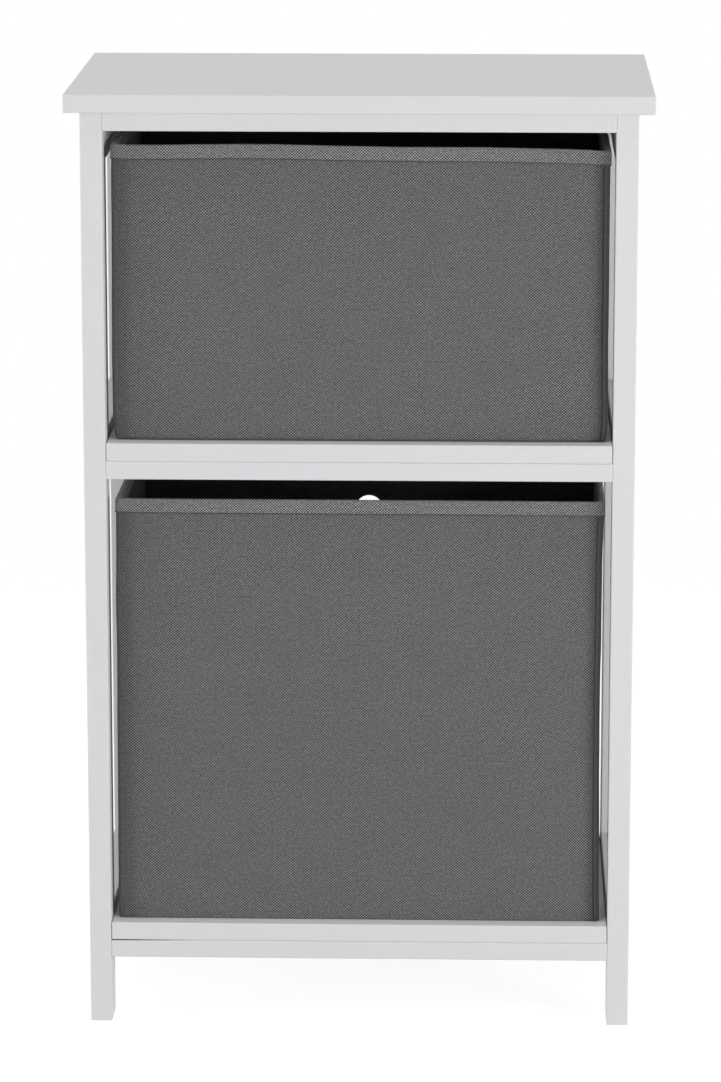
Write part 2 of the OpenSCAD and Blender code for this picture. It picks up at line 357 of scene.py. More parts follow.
class Mark:
    """Levels of the mark by which a cloth's finish finds its seams and its fold.

    The groove and the pressed allowance, which both get painted shade, are given as their reach from
    the seam's level. The painted shade beside a seam fades out by the panel's level.
    """

    NAME = "into_panel"
    SEAM = 0.5
    GROOVE = 0.12
    PRESSED_AND_SHADED = 0.08
    LOST = 0.60
    PANEL = 1.9
    HEM = 2.7
    FOLD = 3.0

    # Rise to a millimetre and for how many it goes on, and where it starts beside a lost seam; these
    # set how far the painted shade beside a seam reaches
    RISE, RISE_RUN = 0.14, 10
    LOST_RISE, LOST_RUN, LOST_START = 0.095, 14, 8
    HEM_WIDTH = 0.55 * MM


@dataclass(frozen=True)
class EmbossedCloth(Finish):
    """Non-woven cloth with diamond bond points, on the piece's own cloth map in metres."""

    colour: Colour
    contrast: float = 1.0
    # Colour of the pressed seam allowance and of the hem's lower edge: partly the pressed cloth's own
    # tone, partly painted shade; 0.4 of it paints the shade in the grooves
    pressed_and_shaded: Colour = (0.074, 0.070, 0.063)
    pitch: tuple[float, float] = (2.457 * MM, 2.274 * MM)
    # Share of painted shade, towards black, on the cloth beside the corner seams, where the legs shade
    # it
    painted_seam_shade: float = 0.0

    # Fineness of the noises, in bumps to a metre
    DRIFT, PATCHES, FIBRES, CLUMPS = 60.0, 470.0, 1500.0, 42.0
    THREADS, BANDS = (700.0, 260.0, 1.0), (3.0, 16.0, 1.0)

    WANDER = 0.35 * MM
    BOND_EDGE = (-0.35, 0.15)
    # The sunk colour of the bond points is partly the pattern's own tone and partly painted shade in
    # their hollows
    DULL, BRIGHT, SUNK = 1.45, 3.25, 0.84
    GROOVE_DEPTH, BOND_DEPTH, FIBRE_DEPTH = 0.5 * MM, 0.16 * MM, 0.07 * MM

    def surface(self, recipe: Recipe) -> Mapping[str, Input]:
        """Works out the surface shader's sockets.

        Args:
            recipe: The material's recipe.

        Returns:
            Each socket's value or link.
        """
        lay = recipe.node("ShaderNodeUVMap", {"uv_map": "cloth"})
        mark = recipe.node("ShaderNodeAttribute", {"attribute_name": Mark.NAME}, output="Fac")
        ironed_and_shaded = 1.0 - recipe.step(mark, Mark.SEAM - Mark.PRESSED_AND_SHADED, Mark.SEAM)
        groove = recipe.step(mark, Mark.SEAM - Mark.GROOVE, Mark.SEAM)
        groove = groove * (1.0 - recipe.step(mark, Mark.SEAM, Mark.SEAM + Mark.GROOVE))
        fibres = recipe.fog(lay, self.FIBRES, 3.0, 0.7)
        threads = recipe.streaks(lay, self.THREADS)
        bond = self.bond_points(recipe, lay) * (1.0 - 0.5 * ironed_and_shaded)
        bond = bond * (1.0 - 0.15 * recipe.step(mark, Mark.FOLD - 0.2, Mark.FOLD))

        tone = 0.5 + (fibres - 0.5) * 0.55 + (threads - 0.5) * 0.25
        tone = tone + (recipe.fog(lay, self.CLUMPS, 4.0, 0.62) - 0.5) * 0.24
        tone = tone + (recipe.streaks(lay, self.BANDS) - 0.5) * 0.14
        dull, bright = scaled(self.colour, self.DULL), scaled(self.colour, self.BRIGHT)
        # Bond points darkened: partly own tone, partly painted shade in their hollows
        sunk_and_shaded = scaled(self.colour, 1.0 - self.SUNK * self.contrast)
        cloth = recipe.tint(bond, recipe.tint(tone, dull, bright), sunk_and_shaded)
        # Painted shade beside the corner seams, fading out on the panel
        seam_shade_mask = 1.0 - recipe.step(mark, Mark.SEAM, Mark.PANEL)
        cloth = recipe.tint(seam_shade_mask * self.painted_seam_shade, cloth, BLACK)
        # Pressed allowance and the hem's lower edge: partly own tone, partly painted shade
        cloth = recipe.tint(ironed_and_shaded * 0.8, cloth, self.pressed_and_shaded)
        # Painted shade in the corner seams' grooves and along the hem's stitch line, on top of their
        # bump
        cloth = recipe.tint(groove * 0.75, cloth, scaled(self.pressed_and_shaded, 0.4))

        relief = recipe.bump(1.0 - groove, self.GROOVE_DEPTH)
        relief = recipe.bump(1.0 - bond, self.BOND_DEPTH, relief)
        relief = recipe.bump(fibres * 0.6 + threads * 0.4, self.FIBRE_DEPTH, relief)
        return {
            "Base Color": cloth,
            "Roughness": 0.86 - 0.26 * bond,
            "Normal": relief,
            "Sheen Weight": 0.10,
            "Sheen Roughness": 0.5,
            "Specular IOR Level": 0.3,
        }

    def bond_points(self, recipe: Recipe, lay: Socket) -> Socket:
        """Finds the bond points, which stand in a slightly uneven diamond grid.

        Args:
            recipe: The material's recipe.
            lay: Place on the cloth map.

        Returns:
            1 at the bond points and 0 between them.
        """
        across, up = recipe.coordinate(lay, "X"), recipe.coordinate(lay, "Y")
        wander = self.WANDER * (recipe.fog(lay, self.DRIFT, 1.0) - 0.5)
        turn_across, turn_up = (math.tau / pitch for pitch in self.pitch)
        waves = ((across + wander) * turn_across).cosine() * ((up - wander) * turn_up).cosine()
        patches = recipe.fog(lay, self.PATCHES, 1.0) - 0.5
        return recipe.step(waves + patches * 0.8, *self.BOND_EDGE)


@dataclass(frozen=True)
class SewingThread(Finish):
    """Spun sewing thread."""

    colour: Colour

    FUZZ = 3200.0

    def surface(self, recipe: Recipe) -> Mapping[str, Input]:
        """Returns the sockets of the surface shader, each with its value or link."""
        fuzz = recipe.fog(recipe.object_place(), self.FUZZ)
        return {
            "Base Color": recipe.tint(fuzz, scaled(self.colour, 0.7), scaled(self.colour, 1.3)),
            "Roughness": 0.55 + 0.3 * fuzz,
            "Normal": recipe.bump(fuzz, 0.05 * MM),
            "Sheen Weight": 0.2,
        }


@dataclass(frozen=True)
class GreyBoard(Finish):
    """Pressed board with flecks of pulp."""

    colour: Colour = (0.40, 0.33, 0.25)

    PULP, FLECKS = 420.0, 900.0

    def surface(self, recipe: Recipe) -> Mapping[str, Input]:
        """Works out the surface shader's sockets.

        Args:
            recipe: The material's recipe.

        Returns:
            Each socket's value or link.
        """
        place = recipe.object_place()
        pulp = recipe.fog(place, self.PULP, 4.0, 0.7)
        flecks = recipe.step(recipe.fog(place, self.FLECKS, 1.0), 0.66, 0.72)
        ground = recipe.tint(pulp, scaled(self.colour, 0.84), scaled(self.colour, 1.16))
        return {
            "Base Color": recipe.tint(flecks, ground, scaled(self.colour, 0.6)),
            "Roughness": 0.8 + 0.15 * pulp,
            "Normal": recipe.bump(pulp, 0.05 * MM),
        }


@dataclass(frozen=True)
class PlatedSteel(Finish):
    """Zinc plate over turned steel, with fine turning marks and dull patches."""

    colour: Colour
    roughness: float = 0.30

    TURNING, PATCHES = (4000.0, 500.0, 500.0), 260.0

    def surface(self, recipe: Recipe) -> Mapping[str, Input]:
        """Works out the surface shader's sockets.

        Args:
            recipe: The material's recipe.

        Returns:
            Each socket's value or link.
        """
        place = recipe.object_place()
        marks = recipe.streaks(place, self.TURNING, 3.0)
        patches = recipe.fog(place, self.PATCHES, 4.0, 0.6)
        return {
            "Base Color": recipe.tint(patches, scaled(self.colour, 0.82), self.colour),
            "Metallic": 1.0,
            "Roughness": self.roughness + 0.22 * (patches - 0.5) + 0.08 * marks,
            "Normal": recipe.bump(marks, 0.012 * MM),
        }


@dataclass(frozen=True)
class Beech(Finish):
    """Bare beech dowel rod, with its short dark flecks."""

    colour: Colour = (0.57, 0.36, 0.18)

    RINGS, FLECKS = (30.0, 700.0, 700.0), (260.0, 1800.0, 1800.0)

    def surface(self, recipe: Recipe) -> Mapping[str, Input]:
        """Works out the surface shader's sockets.

        Args:
            recipe: The material's recipe.

        Returns:
            Each socket's value or link.
        """
        place = recipe.object_place()
        rings = recipe.streaks(place, self.RINGS, 4.0)
        flecks = recipe.step(recipe.streaks(place, self.FLECKS, 1.0), 0.62, 0.7)
        ground = recipe.tint(rings, scaled(self.colour, 0.78), scaled(self.colour, 1.14))
        return {
            "Base Color": recipe.tint(flecks, ground, scaled(self.colour, 0.5)),
            "Roughness": 0.6 + 0.15 * rings,
            "Normal": recipe.bump(rings, 0.03 * MM),
        }


# The cover gets painted shade beside its corner seams
OUTER_CLOTH = EmbossedCloth("bin_fabric", (0.1205, 0.119, 0.117), painted_seam_shade=0.28)
# The lining's dark colour is painted shade of the bins' insides; its own colour is not known
INNER_CLOTH = EmbossedCloth("bin_lining", (0.044, 0.042, 0.044), contrast=0.8)
# The hem's pressed colour paints a shadow line along its lower edge and shade in its stitch groove
HEM_CLOTH = EmbossedCloth("hem_tape", (0.170, 0.170, 0.174), pressed_and_shaded=(0.100, 0.097, 0.092))
# The thread is real, but made near black to paint the shade of the stitch holes and of the hem's edge
THREAD = SewingThread("sewing_thread", (0.018, 0.017, 0.016))
CARD = GreyBoard("stiffening_card")
BOLT_PLATE = PlatedSteel("zinc_bolt", (0.66, 0.68, 0.71))
SCREW_PLATE = PlatedSteel("zinc_screw", (0.72, 0.60, 0.32), 0.34)
DOWEL_WOOD = Beech("dowel_beech")


def dress(piece: bpy.types.Object, material: bpy.types.Material) -> None:
    """Gives a piece, or a node of the frame, one material.

    Args:
        piece: The object.
        material: Its material.
    """
    if not piece.material_slots:
        piece.data.materials.append(material)
    for slot in piece.material_slots:
        slot.material = material


# ---- Modelling ----


def ease(low: float, high: float, value: np.ndarray) -> np.ndarray:
    """Returns 0 below low and 1 above high, with a smooth rise between."""
    t = np.clip((value - low) / (high - low), 0.0, 1.0)
    return t * t * (3.0 - 2.0 * t)


def along(profile: Profile, value: np.ndarray) -> np.ndarray:
    """Returns a profile's heights, in metres from its millimetres, at the values."""
    places, heights = zip(*profile)
    return MM * np.interp(value, places, heights)


def ripple(points: np.ndarray, fineness: Sequence[float], seed: float) -> np.ndarray:
    """Returns a noise from about -1 to 1, its fineness in bumps to a metre along each axis."""
    rows = points * np.asarray(fineness) + seed
    return np.array([noise.noise(row) for row in rows.tolist()])


def read(parts: Any, key: str, width: int = 1, kind: type = np.float32) -> np.ndarray:
    """Reads a property of all the parts of a mesh.

    Args:
        parts: Vertices, faces or loops.
        key: The property.
        width: How many numbers it has.
        kind: Type of its numbers.

    Returns:
        A value for each part, or a row for each where width is over 1.
    """
    values = np.zeros(len(parts) * width, kind)
    parts.foreach_get(key, values)
    return values.reshape(-1, width) if width > 1 else values


def put_in_scene(name: str, data: Any) -> bpy.types.Object:
    """Adds an object to the scene.

    Args:
        name: Its name.
        data: Its mesh, lamp or camera.

    Returns:
        The object.
    """
    obj = bpy.data.objects.new(name, data)
    bpy.context.scene.collection.objects.link(obj)
    return obj


class Workpiece:
    """Mesh object shaped with Blender's own tools, its place kept in its mesh."""

    MOST_CUTS = 99

    # Share of an edge's length that lies along an axis, and of the longest edge's length
    STRAIGHT, NEARLY_STRAIGHT, LONG = 0.999, 0.95, 0.6

    def __init__(self, name: str) -> None:
        """Takes the active object and moves its place into its mesh.

        Args:
            name: Name that the piece gets.
        """
        self.obj = bpy.context.object
        self.obj.name = self.obj.data.name = name
        bpy.ops.object.transform_apply(location=True, rotation=True, scale=True)

    @staticmethod
    def put_all_down() -> None:
        """Leaves edit mode and deselects everything."""
        if bpy.context.object and bpy.context.object.mode != "OBJECT":
            bpy.ops.object.mode_set(mode="OBJECT")
        bpy.ops.object.select_all(action="DESELECT")

    @classmethod
    def block(cls, name: str, low: Sequence[float], high: Sequence[float]) -> "Workpiece":
        """Adds a block.

        Args:
            name: Name of the piece.
            low: Its lowest corner.
            high: Its highest corner.

        Returns:
            The piece.
        """
        cls.put_all_down()
        low, high = Vector(low), Vector(high)
        bpy.ops.mesh.primitive_cube_add(size=1.0, location=(low + high) / 2)
        bpy.context.object.scale = high - low
        return cls(name)

    @classmethod
    def rod(
        cls,
        name: str,
        centre: Sequence[float],
        radius: float,
        length: float,
        turn: Sequence[float],
        sides: int,
    ) -> "Workpiece":
        """Adds a rod that lies along Z before it is turned.

        Args:
            name: Name of the piece.
            centre: Its middle.
            radius: Its radius.
            length: Its length.
            turn: Turn about each axis, in radians.
            sides: Number of flats round it.

        Returns:
            The piece.
        """
        cls.put_all_down()
        bpy.ops.mesh.primitive_cylinder_add(
            vertices=sides, radius=radius, depth=length, location=centre, rotation=turn
        )
        return cls(name)

    def take_up(self) -> None:
        """Makes this the only selected object, in object mode."""
        self.put_all_down()
        self.obj.select_set(True)
        bpy.context.view_layer.objects.active = self.obj

    def pick(self, kind: str, chosen: Sequence[bool]) -> None:
        """Selects parts of the mesh and enters edit mode.

        Args:
            kind: "EDGE" or "FACE".
            chosen: Whether each edge or face is selected.
        """
        self.take_up()
        mesh = self.obj.data
        for parts in (mesh.vertices, mesh.edges, mesh.polygons):
            parts.foreach_set("select", [False] * len(parts))
        parts = mesh.edges if kind == "EDGE" else mesh.polygons
        parts.foreach_set("select", list(chosen))
        bpy.ops.object.mode_set(mode="EDIT")
        bpy.ops.mesh.select_mode(type=kind)

    def pick_edges(self, wanted: Callable[[Vector, Vector], bool]) -> None:
        """Selects edges.

        Args:
            wanted: Test of an edge, given its two ends.
        """
        mesh = self.obj.data
        ends = [[mesh.vertices[i].co for i in edge.vertices] for edge in mesh.edges]
        self.pick("EDGE", [wanted(a, b) for a, b in ends])

    def pick_faces(self, wanted: Callable[[Vector, Vector], bool]) -> None:
        """Selects the faces whose centre and normal pass a test."""
        self.pick("FACE", [wanted(face.center, face.normal) for face in self.obj.data.polygons])

    def leave_edit(self) -> None:
        """Goes back to object mode."""
        bpy.ops.object.mode_set(mode="OBJECT")

    def bevel(self, wanted: Callable[[Vector, Vector], bool], width: float, segments: int) -> None:
        """Rounds edges.

        Args:
            wanted: Test of an edge, given its two ends.
            width: How far the rounding reaches.
            segments: Number of its steps.
        """
        self.pick_edges(wanted)
        bpy.ops.mesh.bevel(offset=width, segments=segments, affect="EDGES", clamp_overlap=True)
        self.leave_edit()

    def cut_away(self, wanted: Callable[[Vector, Vector], bool]) -> None:
        """Deletes faces.

        Args:
            wanted: Test of a face, given its centre and normal.
        """
        self.pick_faces(wanted)
        bpy.ops.mesh.delete(type="FACE")
        self.leave_edit()

    def slice(self, axis: int, place: float) -> None:
        """Cuts an edge into every face that crosses a plane square to an axis.

        Args:
            axis: 0, 1 or 2.
            place: Where the plane crosses the axis.
        """
        self.pick("FACE", [True] * len(self.obj.data.polygons))
        where = [place if k == axis else 0.0 for k in range(3)]
        facing = [1.0 if k == axis else 0.0 for k in range(3)]
        bpy.ops.mesh.bisect(plane_co=where, plane_no=facing)
        self.leave_edit()

    def rule(self, axis: int, pitch: float) -> None:
        """Divides the long edges along an axis, and what lies between them, into even lengths.

        Args:
            axis: 0, 1 or 2.
            pitch: About how long each part comes out.
        """
        mesh = self.obj.data
        ends = [[mesh.vertices[i].co for i in edge.vertices] for edge in mesh.edges]
        spans = [a - b for a, b in ends]
        straight = [s for s in spans if s.length > 0 and abs(s[axis]) > self.STRAIGHT * s.length]
        longest = max(abs(span[axis]) for span in straight)
        cuts = min(self.MOST_CUTS, max(1, round(longest / pitch) - 1))
        least = [max(self.LONG * longest, self.NEARLY_STRAIGHT * s.length) for s in spans]
        self.pick("EDGE", [abs(span[axis]) > share for span, share in zip(spans, least)])
        bpy.ops.mesh.subdivide(number_cuts=cuts)
        self.leave_edit()

    def extrude(self, move: Sequence[float] = (0, 0, 0)) -> None:
        """Draws new faces out of the selected edges, and leaves their far edges selected."""
        bpy.ops.mesh.extrude_region_move(TRANSFORM_OT_translate={"value": move})

    def finish_with(self, kind: str, **settings: Any) -> None:
        """Adds a modifier and applies it.

        Args:
            kind: Blender's name of the modifier type.
            settings: Its properties.
        """
        self.take_up()
        modifier = self.obj.modifiers.new(kind.lower(), kind)
        for key, value in settings.items():
            setattr(modifier, key, value)
        bpy.ops.object.modifier_apply(modifier=modifier.name)

    def bore(self, cutter: "Workpiece") -> None:
        """Cuts another piece out of this one and discards it."""
        self.finish_with("BOOLEAN", object=cutter.obj, operation="DIFFERENCE", solver="EXACT")
        bpy.data.objects.remove(cutter.obj, do_unlink=True)

    @property
    def points(self) -> np.ndarray:
        """The vertices, one row each."""
        return read(self.obj.data.vertices, "co", 3).astype(float)

    @points.setter
    def points(self, rows: np.ndarray) -> None:
        """Moves the vertices."""
        self.obj.data.vertices.foreach_set("co", rows.astype(np.float32).ravel())
        self.obj.data.update()

    def smooth(self, degrees: float = 40.0) -> None:
        """Shades the piece smooth across its shallow edges."""
        self.take_up()
        bpy.ops.object.shade_smooth_by_angle(angle=math.radians(degrees))


# ---- Bins ----


class Ply(Enum):
    """Layer of a bin's wall, from the outside in."""

    OUTSIDE = 1
    CORE = 0
    INSIDE = -1


@dataclass(frozen=True)
class Settling:
    """How a sewn bin has gone out of true. Lengths are in millimetres.

    The edge profiles give, for shares of the height, how far a side wall stands out of its
    plane at a corner. The rim profiles give, for places across the width from -1 to 1, how
    far the rim stands above its plane.
    """

    seed: float
    front_left: Profile
    front_right: Profile
    rear_left: Profile
    rear_right: Profile
    front_rim: Profile
    rear_rim: Profile
    side_sag: float
    belly_of_ends: float
    belly_of_sides: float
    tuck: float
    aside: float = 1.0


UPPER_SETTLING = Settling(
    seed=11.3,
    front_left=((0.0, 1.2), (0.1, 2.0), (0.28, 2.1), (0.62, 1.5), (0.9, 0.9), (1.0, 0.4)),
    front_right=((0.0, 0.6), (0.1, 0.6), (0.3, 0.1), (0.7, 0.1), (0.95, 0.3), (1.0, 0.6)),
    rear_left=((0.0, 0.4), (0.3, 0.8), (0.7, 0.2), (1.0, -0.6)),
    rear_right=((0.0, 0.2), (0.4, 0.9), (0.8, 0.4), (1.0, -0.3)),
    front_rim=(
        (-1.0, 2.6), (-0.93, 1.8), (-0.8, 1.8), (-0.5, 2.6), (-0.33, 2.5), (-0.1, 1.5), (0.16, 0.7),
        (0.5, 0.7), (0.66, 0.1), (0.8, -0.4), (0.9, -1.0), (0.97, -2.0), (1.0, -2.3),
    ),
    rear_rim=((-1.0, 0.5), (-0.6, -0.6), (0.0, -1.4), (0.5, -0.8), (1.0, 0.4)),
    side_sag=-1.2,
    belly_of_ends=0.9,
    belly_of_sides=1.6,
    tuck=1.2,
)

LOWER_SETTLING = Settling(
    seed=47.9,
    front_left=((0.0, 1.7), (0.14, 1.5), (0.5, 1.1), (0.8, 0.7), (0.95, 0.2), (1.0, -0.3)),
    front_right=(
        (0.0, -1.6), (0.05, -2.2), (0.15, -2.6), (0.3, -3.1), (0.7, -3.0), (0.85, -2.5),
        (0.94, -1.8), (1.0, -1.4),
    ),
    rear_left=((0.0, 0.6), (0.4, 1.2), (0.8, 0.4), (1.0, -0.5)),
    rear_right=((0.0, -0.4), (0.4, -1.2), (0.8, -0.8), (1.0, -0.6)),
    front_rim=(
        (-1.0, 1.2), (-0.92, 0.6), (-0.7, 0.4), (-0.3, 0.4), (0.3, 0.3), (0.8, 0.1), (1.0, 0.0),
    ),
    rear_rim=((-1.0, 0.3), (-0.4, -0.8), (0.2, -1.0), (0.7, -0.5), (1.0, 0.2)),
    side_sag=-1.5,
    belly_of_ends=1.3,
    belly_of_sides=-1.2,
    tuck=0.3,
)


class BinForm:
    """Outline and set of one sewn bin, shared by all its layers."""

    CORNER, LEAST_CORNER = 4 * MM, 0.5 * MM
    SEAM = 5.5 * MM

    # Shares of the half width and half depth from which a side or end wall is moved
    NEAR_SIDE, NEAR_END = (0.72, 0.97), (0.6, 0.95)

    # Long waves of the walls, wrinkles of the cover and slack of the lining
    WAVES, WRINKLES, SLACK = (7.0, 7.0, 13.0), (24.0, 24.0, 30.0), (11.0, 11.0, 6.0)
    SIDE_WAVE, END_WAVE = 0.45 * MM, 0.35 * MM
    WRINKLE_DEPTH, SLACK_DEPTH = 0.32 * MM, 1.6 * MM
    WRINKLE_SHIFT, SLACK_SHIFT = 0.25, 0.4

    SEAM_DEPTH, SEAM_WIDTH, LOST_SHARE = 0.45 * MM, 0.7 * MM, 0.2
    TUCK_HEIGHT = 17 * MM
    BELOW_HEM, ABOVE_BASE = 6 * MM, (2 * MM, 8 * MM)
    BASE_ZONE, LEVEL_FACING = 12 * MM, 0.7
    STITCH_LINE = 0.7 * MM
    FOLD_HEIGHT = 0.9 * MM

    def __init__(self, bin_name: str, settling: Settling) -> None:
        """Reads the bin's size from the frame.

        Args:
            bin_name: Name of the bin's body.
            settling: How the bin has gone out of true.
        """
        self.settling = settling
        low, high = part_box(f"{bin_name}_hem")
        self.half_w, self.half_d = high.x, high.y
        self.rim = high.z
        self.hem_h = high.z - low.z
        self.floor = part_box(f"{bin_name}_cover")[0].z

    def inset_of(self, node: str) -> float:
        """Returns how far a node's outside lies inside the hem's."""
        return self.half_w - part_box(node)[1].x

    def girth(self, x: np.ndarray, y: np.ndarray) -> np.ndarray:
        """Measures round the bin.

        Args:
            x: Places across the bin.
            y: Places along its depth.

        Returns:
            Distances round the outline from the left end of the front.
        """
        r = self.CORNER
        a, b, q = self.half_w - r, self.half_d - r, r * math.pi / 2
        front = x + a
        right = 2 * a + q + (y + b)
        rear = 2 * a + 2 * q + 2 * b + (a - x)
        left = 4 * a + 3 * q + 2 * b + (b - y)
        front_right = 2 * a + r * np.arctan2(x - a, -(y + b))
        rear_right = 2 * a + q + 2 * b + r * np.arctan2(y - b, x - a)
        rear_left = 4 * a + 2 * q + 2 * b + r * np.arctan2(-(x + a), y - b)
        front_left = 4 * a + 3 * q + 4 * b + r * np.arctan2(-(y + b), -(x + a))
        ends = np.where(y < 0, front, rear)
        sides = np.where(x > 0, right, left)
        corners = np.where(
            x > 0, np.where(y < 0, front_right, rear_right), np.where(y < 0, front_left, rear_left)
        )
        return np.where(np.abs(x) <= a, ends, np.where(np.abs(y) <= b, sides, corners))

    @property
    def whole_girth(self) -> float:
        """The distance all the way round."""
        r = self.CORNER
        return 4 * (self.half_w - r) + 4 * (self.half_d - r) + math.tau * r

    def outline(self, inset: float, spacing: float) -> tuple[np.ndarray, np.ndarray]:
        """Walks round the outline of a layer.

        Args:
            inset: How far the layer lies inside the hem's outside.
            spacing: About how far apart the places are.

        Returns:
            The places, and the outward directions there, one row each.
        """
        r = max(self.CORNER - inset, self.LEAST_CORNER)
        a, b = self.half_w - inset - r, self.half_d - inset - r
        lengths = [2 * a, r * math.pi / 2, 2 * b, r * math.pi / 2] * 2
        total = sum(lengths)
        starts = [
            (-a, -b - r), (a, -b), (a + r, -b), (a, b), (a, b + r), (-a, b), (-a - r, b), (-a, -b),
        ]
        places, outward = [], []
        for step in np.arange(round(total / spacing)) / round(total / spacing) * total:
            part = 0
            while step > lengths[part]:
                step -= lengths[part]
                part += 1
            turn = (part // 2) * math.pi / 2
            x, y = starts[part]
            if part % 2:
                angle = turn - math.pi / 2 + step / r
                direction = (math.cos(angle), math.sin(angle))
                places.append([x + r * direction[0], y + r * direction[1]])
            else:
                direction = (math.sin(turn), -math.cos(turn))
                places.append([x + step * math.cos(turn), y + step * math.sin(turn)])
            outward.append(direction)
        return np.array(places), np.array(outward)

    def settle(self, points: np.ndarray, ply: Ply) -> np.ndarray:
        """Moves points of a true box to where the settled bin has them.

        Args:
            points: Places on the true box, one row each.
            ply: Layer that the points belong to.

        Returns:
            The moved places.
        """
        s = self.settling
        x, y, z = points.T
        across, deep = x / self.half_w, y / self.half_d
        up = (z - self.floor) / (self.rim - self.floor)
        by_side = ease(*self.NEAR_SIDE, np.abs(across))
        by_end = ease(*self.NEAR_END, np.abs(deep))
        to_front = np.clip(0.5 - 0.5 * deep, 0.0, 1.0)
        swell = np.sin(np.pi * np.clip(up, 0.0, 1.0))

        left = along(s.front_left, up) * to_front + along(s.rear_left, up) * (1 - to_front)
        right = along(s.front_right, up) * to_front + along(s.rear_right, up) * (1 - to_front)
        out_x = np.where(x < 0, left, right) + s.belly_of_sides * MM * (1 - deep**2) * swell
        out_y = s.belly_of_ends * MM * (1 - across**2) * swell
        waves = ripple(points, self.WAVES, s.seed)
        off_base = np.clip(up * 8, 0, 1)
        out_x = out_x + self.SIDE_WAVE * waves * off_base
        out_y = out_y + self.END_WAVE * waves * off_base

        height = z - self.floor
        tuck = s.tuck * MM * np.clip(1 - height / self.TUCK_HEIGHT, 0, 1) ** 2 * by_side * by_end
        out_x, out_y = out_x - tuck, out_y - tuck

        rim = along(s.front_rim, across) * to_front + along(s.rear_rim, across) * (1 - to_front)
        rim = rim + s.side_sag * MM * by_side * (1 - deep**2)
        lift = rim * np.clip(up, 0.0, 1.05) ** 2

        # Each ply's own looseness goes square to the wall, round the corners too
        a, b = self.half_w - self.CORNER, self.half_d - self.CORNER
        in_corner = (np.abs(x) > a) & (np.abs(y) > b)
        angle = np.arctan2(np.abs(x) - a, np.abs(y) - b)
        normal_x = np.where(in_corner, np.sin(angle), by_side * (np.abs(y) <= b))
        normal_y = np.where(in_corner, np.cos(angle), by_end * (np.abs(x) <= a))
        loose = self.looseness(points, ply)
        return np.stack(
            [
                x + s.aside * MM + np.sign(x) * (by_side * out_x + normal_x * loose),
                y + np.sign(y) * (by_end * out_y + normal_y * loose),
                z + lift,
            ],
            axis=1,
        )

    def looseness(self, points: np.ndarray, ply: Ply) -> np.ndarray:
        """Tells how far a ply stands off the cards, so that each stays on its own side of them.

        Args:
            points: Places on the true box, one row each.
            ply: Layer that the points belong to.

        Returns:
            Distances outwards, none for the core.
        """
        z, seed = points[:, 2], self.settling.seed
        hem_foot = self.rim - self.hem_h
        below_hem = 1 - ease(hem_foot - self.BELOW_HEM, hem_foot, z)
        above_base = ease(*(self.floor + height for height in self.ABOVE_BASE), z)
        if ply is Ply.OUTSIDE:
            fine = ripple(points, self.WRINKLES, seed + 5.0)
            groove = np.exp(-(((self.into_panel(points) - self.SEAM) / self.SEAM_WIDTH) ** 2))
            groove = groove * np.where(self.seam_is_lost(points), self.LOST_SHARE, 1.0)
            wrinkles = np.clip(fine + self.WRINKLE_SHIFT, 0, 1)
            loose = self.WRINKLE_DEPTH * wrinkles * above_base * below_hem
            return loose - self.SEAM_DEPTH * groove * below_hem * above_base
        if ply is Ply.INSIDE:
            slack = ripple(points, self.SLACK, seed + 9.0)
            slack = np.clip(self.SLACK_SHIFT + slack, 0, 1)
            return -self.SLACK_DEPTH * slack * above_base * below_hem
        return np.zeros(len(points))

    def into_panel(self, points: np.ndarray) -> np.ndarray:
        """Measures from the nearest upright corner of the true box, along the wall, in metres."""
        return np.maximum(self.half_w - np.abs(points[:, 0]), self.half_d - np.abs(points[:, 1]))

    @staticmethod
    def seam_is_lost(points: np.ndarray) -> np.ndarray:
        """Tells which points are at the front left, where the seam sinks into a soft fold."""
        return (points[:, 0] < 0) & (points[:, 1] < 0)

    @property
    def hem_seam(self) -> float:
        """The level of the row of stitches along the lower edge of the hem."""
        return self.rim - self.hem_h + self.STITCH_LINE

    def mark_seams(self, piece: Workpiece, ply: Ply) -> None:
        """Marks how far each point of a true piece lies from its seam.

        The mark is less than its level for a seam on the seam allowance, more on the panel,
        and highest on the fold of the hem.

        Args:
            piece: The piece, still true.
            ply: Outside for the cover, with its corner seams, core for the hem, with its row of
                stitches, and inside for what has no seam that shows.
        """
        points = piece.points
        if ply is Ply.OUTSIDE:
            run = self.into_panel(points)
            lost = np.clip(run / MM - Mark.LOST_START, 0, Mark.LOST_RUN)
            lost = Mark.LOST + Mark.LOST_RISE * lost
            plain = Mark.SEAM * np.minimum(run / self.SEAM, 1)
            plain = plain + Mark.RISE * np.clip((run - self.SEAM) / MM, 0, Mark.RISE_RUN)
            mark = np.where(self.seam_is_lost(points), lost, plain)
        elif ply is Ply.CORE:
            level = points[:, 2]
            mark = Mark.SEAM + Mark.GROOVE * (level - self.hem_seam) / Mark.HEM_WIDTH
            on_fold = level > self.rim - self.FOLD_HEIGHT
            mark = np.where(on_fold, Mark.FOLD, np.minimum(mark, Mark.HEM))
        else:
            mark = np.full(len(points), Mark.PANEL)
        layer = piece.obj.data.attributes.new(Mark.NAME, "FLOAT", "POINT")
        layer.data.foreach_set("value", mark.astype(np.float32))

    def map_cloth(self, piece: Workpiece) -> None:
        """Gives a piece a cloth map in metres, round the walls and across the base.

        Args:
            piece: The piece, still true.
        """
        mesh = piece.obj.data
        if not mesh.uv_layers:
            mesh.uv_layers.new(name="cloth")
        layer = mesh.uv_layers[0]
        layer.name = "cloth"
        x, y, z = piece.points[read(mesh.loops, "vertex_index", kind=np.int32)].T
        counts = read(mesh.polygons, "loop_total", kind=np.int32)
        face_of = np.repeat(np.arange(len(counts)), counts)

